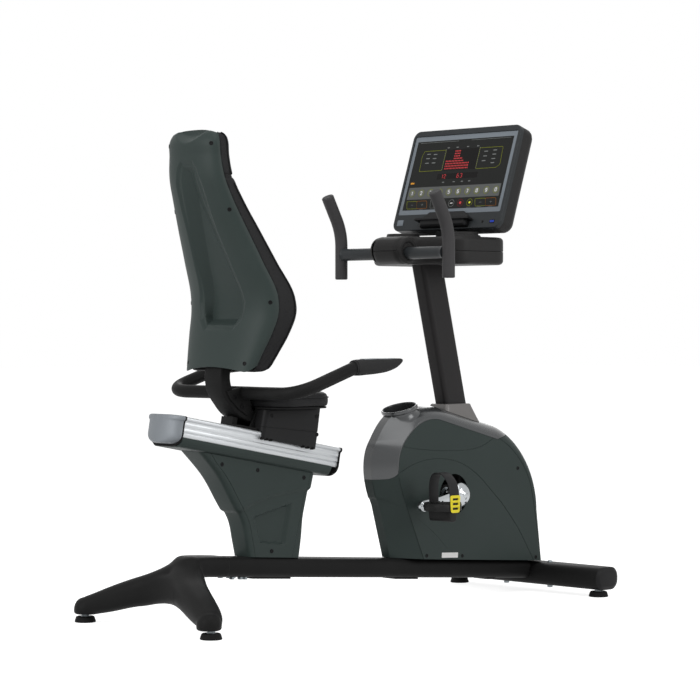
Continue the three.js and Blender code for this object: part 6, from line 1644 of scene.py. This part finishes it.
def displayPrint():
    # windows, lit dots, keys and marks, each a little in front of what it lies on
    depth = console["glassDepth"] - 0.3
    windows = [windowOutline(key, 0.6) for key in ("matrix", "strip")]
    facePiece("matrix_windows", windows, depth - 0.12, depth + 0.4, "ledBlack")
    (y0, z0), (py, pz) = display["dotStart"], display["dotPitch"]
    dots = [boxOutline(y0 - k * py, z0 + row * pz, *display["dotSize"], 1.2)
            for k, rows in enumerate(display["dotHeights"]) for row in range(rows)]
    facePiece("matrix_dots", dots, depth - 0.3, depth, "redLed")
    lines = [line for y, sign in display["stripDigits"] for line in digitLines(sign, y, 171, 7.5, 12)]
    finished(meshObject("led_digits", strokes(lines, 1.5, depth - 0.25)), "redLed", "frame")
    facePiece("key_band", [windowOutline("band", 1.0)], depth - 0.15, depth + 0.4, "keyBand")
    radius, level = display["keyRadius"], display["keyLevel"]
    places = [(display["keyFirst"] - k * display["keyPitch"], sign) for k, sign in enumerate("1234567890")]
    keys = [circleLoop(radius - 1.6, 32) + [y, level] for y, _ in places]
    facePiece("number_keys", keys, depth - 0.6, depth, "keyGrey", 0.2)
    rings = [ringShape(y, level, radius, 1.3, depth - 0.2) for y, _ in places]
    numbers = [line for y, sign in places for line in digitLines(sign, y, level, 6.2, 10.5)]
    finished(meshObject("key_numbers", strokes(numbers, 2.0, depth - 0.75)), "markWhite", "frame")
    row, (play, stop, start) = display["lowLevel"], display["round"]
    high, low = display["slantLevels"]
    for finish, starts in display["slants"].items():
        outlines = [[(y, high), (y - 42, high), (y - 49, low), (y - 7, low)] for y in starts]
        extra = []
        if finish == "lineYellow":
            outlines += display["panels"]
            extra = rings + [ringShape(start, row, radius, 1.2, depth)]
        shapes = strokes([closedLoop(o, 3.5, 5) for o in outlines], 1.3, depth) + extra
        finished(meshObject(finish + "_outlines", shapes), finish, "frame")
    signs = [[(y + 4, row - 1), (y - 4, row - 1)] for y in display["minus"]]
    signs += [[(y, row - 5), (y, row + 3)] for y in display["plus"]]
    signs += [[(y + 8, low - 2.3), (y - 8, low - 2.3)] for y in display["dashes"]]
    signs.append(closedLoop([(87, high), (60, high), (55, low), (82, low)], 2, 4))
    signs += [[(y0, display["topLevel"]), (y1, display["topLevel"])] for y0, y1 in display["topLines"]]
    white = strokes(signs, 0.9, depth) + [ringShape(play, row, radius, 1.1, depth)]
    finished(meshObject("white_marks", white), "markDim", "frame")
    facePiece("play_mark", [boxOutline(play, row, 10, 2.6, 1)], depth - 0.3, depth, "markWhite")
    marks = [boxOutline(y, z, 15 if abs(y) > 90 else 9, 2.6, 1) for y, z in display["marks"] + display["labels"]]
    marks += [boxOutline(s * 70.5, 193 + k * 6.4, 2.2, 1.6, 0.6) for s in (-1, 1) for k in range(11)]
    facePiece("dim_marks", marks, depth - 0.3, depth, "markDim")
    facePiece("orange_mark", [boxOutline(181, 153, 15, 5.5, 0.8)], depth - 0.3, depth, "orangeMark")
    facePiece("stop_key", [circleLoop(4.6, 24) + [stop, row]], depth - 0.5, depth, "redLed")
    finished(meshObject("stop_key_ring", [ringShape(stop, row, radius, 1.0, depth)]), "redDim", "frame")
    facePiece("start_key", [circleLoop(3.6, 24) + [start, row]], depth - 0.5, depth, "yellowLed")
    # sockets and a plain plate under the glass
    facePiece("silver_plate", [boxOutline(191.5, 25, 25, 18, 1.5)], -0.7, 0.5, "borderGrey", 0.3)
    # the dark box round the USB tongue paints the shade of its recess, and the jack's dark disc paints the shade of its
    # hole
    facePiece("usb_recess_shade", [boxOutline(-189.5, 20, 20, 11, 2)], -0.5, 0.5, "ledBlack", 0.2)
    facePiece("usb_tongue", [boxOutline(-189.5, 20, 16, 6.5, 1)], -0.9, 0.5, "usbBlue", 0.2)
    facePiece("jack_socket", [circleLoop(4.2, 24) + [-151, 20]], -0.5, 0.5, "ledBlack", 0.2)


pod = {
    "bottom": 989, "seam": 1028, "top": 1070, "rear": 135, "front": 470, "half": 188, "snout": 60,
    # how far in the edges stand, by their distance from the bottom or the top
    "edge": [(0, 13), (1.2, 8), (3.6, 4), (7, 1.4), (11, 0.2), (20, 0)],
    "cups": (335, 120), "cupRadius": 42, "bar": (177, 1021), "barHalf": 222, "tube": 18.4,
    "handle": [(177, 948), (177, 1088), (120, 1192)], "bend": 44,
    # behind the bar the snout is a barrel: X and Z of its line, its reach; the ring where the bar enters: radius, Y
    "barrel": (177, 1029.5, 42), "sleeve": [[21.5, 52], [21.5, 60], [25, 63.6], [33, 63.6], [38, 59.6], [39.5, 52]],
    # distance from the handle, how much the bar swells there
    "weld": [(0, 3.0), (3, 1.2), (8, 0.2), (14, -0.4)],
}


def podPlan(inset):
    # a narrow snout round the handlebar, widening to the cup holders
    half = bezierLine((pod["rear"], 0), [
        [(pod["rear"], 34)], [(pod["rear"], 51), (151, pod["snout"]), (170, pod["snout"])], [(204, pod["snout"])],
        [(245, 66), (232, pod["half"]), (300, pod["half"])], [(pod["front"] - 54, pod["half"])],
        [(pod["front"] - 18, pod["half"]), (pod["front"], pod["half"] - 18), (pod["front"], pod["half"] - 54)],
        [(pod["front"], 0)]], 14)
    half = offsetLine(half, -inset)
    half[0, 1] = half[-1, 1] = 0
    return np.concatenate([half, (half[1:-1] * [1, -1])[::-1]])


def podShell(name, node, rows, rims):
    # rings of the plan, less the cups, the bar and the mast; the upper one gets cup rims
    loops = []
    middle, level, reach = pod["barrel"]
    for z, inset in rows:
        plan = podPlan(inset)
        share = math.sqrt(1 - ((z - level) / reach) ** 2)
        plan[:, 0] = np.where(plan[:, 0] < middle, middle + (plan[:, 0] - middle) * share, plan[:, 0])
        loops.append(placed(plan, z))
    obj = meshObject(name, [skin(np.array(loops))])
    x, y = pod["cups"]
    radius = pod["cupRadius"]
    if rims:
        # cup rims: a stepped ring with a rounded lip
        top = pod["top"]
        profile = softLine([[0, top - 6], [radius + 17, top - 6], [radius + 14.5, top + 4.5], [radius + 8, top + 6],
                            [radius + 6.5, top + 14.5], [0, top + 15]], [0, 0, 3, 2, 2.5, 0], 5)
        for s in (-1, 1):
            carved(obj, meshObject("cupRim", [skin(turned(profile, 64) + [x, s * y, 0], caps=False)]), "UNION")
    well = softLine([[0, 1000], [radius - 4, 1000], [radius - 1, 1006], [radius, 1076], [radius + 2.6, 1088],
                     [0, 1088]], [0, 4, 4, 2, 0, 0], 5)
    for s in (-1, 1):
        carved(obj, meshObject("cupWell", [skin(turned(well, 64) + [x, s * y, 0], caps=False)]))
    hole = pod["tube"] + 1.2
    carved(obj, meshObject("barHole", [turnedAbout([[0, -300], [hole, -300], [hole, 300], [0, 300]], 48, pod["bar"])]))
    carved(obj, mastSolid(0.8, -60, 960 if rims else 2000))
    finished(weighted(obj, 38), "consoleDark", "frame", [node])


def consolePod():
    bottom, seam, top = pod["bottom"], pod["seam"], pod["top"]
    low = [(bottom + rise, inset) for rise, inset in pod["edge"]]
    high = [(top - fall, inset) for fall, inset in pod["edge"][::-1]]
    podShell("pod_lower_shell", "pod_lower", low + [(seam - 10, 0), (seam - 1.8, 0), (seam - 0.6, 0.9)], False)
    podShell("pod_upper_shell", "pod_upper", [(seam + 0.4, 0.9), (seam + 1.6, 0), (seam + 12, 0)] + high, True)
    # rings where the bar enters, on both sides of the snout
    ring = turnedAbout(softLine(pod["sleeve"], [0, 2, 2.5, 5, 5, 0], 6), 64, pod["barrel"][:2])
    piece("bar_sleeves", [ring, flipY(ring)], "consoleDark", "frame", angle=50)


def consoleHandlebar():
    radius = pod["tube"]
    bottom, bend, tip = [np.array([x, 0, z], float) for x, z in pod["handle"]]
    path = resampled(softLine([bottom, bend, tip], [0, pod["bend"], 0], 24), 110)
    grips, caps = [], []
    # round ends: the sleeve narrows over its last few millimetres and a cap closes it
    d = np.concatenate([[0], np.cumsum(np.linalg.norm(np.diff(path, axis=0), axis=1))])
    away = np.minimum(d, d[-1] - d)
    scale = 1 - 0.10 * np.clip(1 - away / 2.6, 0, 1) ** 2
    fine = skin(swept(circleLoop(radius, 40), path, up=(0, 1, 0), scale=scale))
    for s in (-1, 1):
        at = np.array([0, s * pod["barHalf"], 0])
        grips.append((fine[0] + at, fine[1]))
        for end, inside in ((path[0], path[3]), (path[-1], path[-4])):
            way = (end - inside) / np.linalg.norm(end - inside)
            line = np.array([end + at - way * 2, end + at + way * 0.25])
            caps.append(skin(swept(circleLoop(radius * 0.84, 32), line, up=(0, 1, 0))))
    # the bar swells a little at the weld where it meets the handles
    reach = pod["barHalf"] - radius + 5
    rows = [(radius + swell, away - reach) for away, swell in pod["weld"]]
    rows += [(radius + swell, reach - away) for away, swell in pod["weld"][::-1]]
    bar = skin(aboutY(turned(rows, 40), pod["bar"]))
    piece("console_cross_bar", [bar], "barPaint", "frame", ["console_handlebar"], angle=50)
    piece("console_hand_grips", grips, "gripGrey", "frame", angle=50)
    piece("hand_grip_caps", caps, "blackAbs", "frame")


consoleBody()
displayPrint()
consolePod()
consoleHandlebar()
print("console ready")


# parts whose solid already has the right shape: a merged copy with soft edges and a finish
keptShapes = {
    # finish: edge radius in mm, nodes
    "blackPaint": (0.6, ["pedestal_frame", "carriage_frame", "drive_frame", "console_neck"]),
    "softRubber": (0.5, ["drive_belt"]),
    "blackAbs": (0.8, ["seat_lever", "backrest_board", "crank_pulley", "tablet_rest"]),
    "nickel": (0.4, ["crank_spindle", "crank_bearing_left", "crank_bearing_right", "flywheel_shaft", "brake_magnet"]),
    "castIron": (0.8, ["flywheel"]),
}
bodyOf = {node: body for body, members in frame["record"]["behaviour"]["bodies"].items() for node in members}
for finish, (width, names) in keptShapes.items():
    for name in names:
        finished(bevelled(cadCopy(name, name + "_finish"), width), finish, bodyOf[name], [name])
print("kept shapes finished")
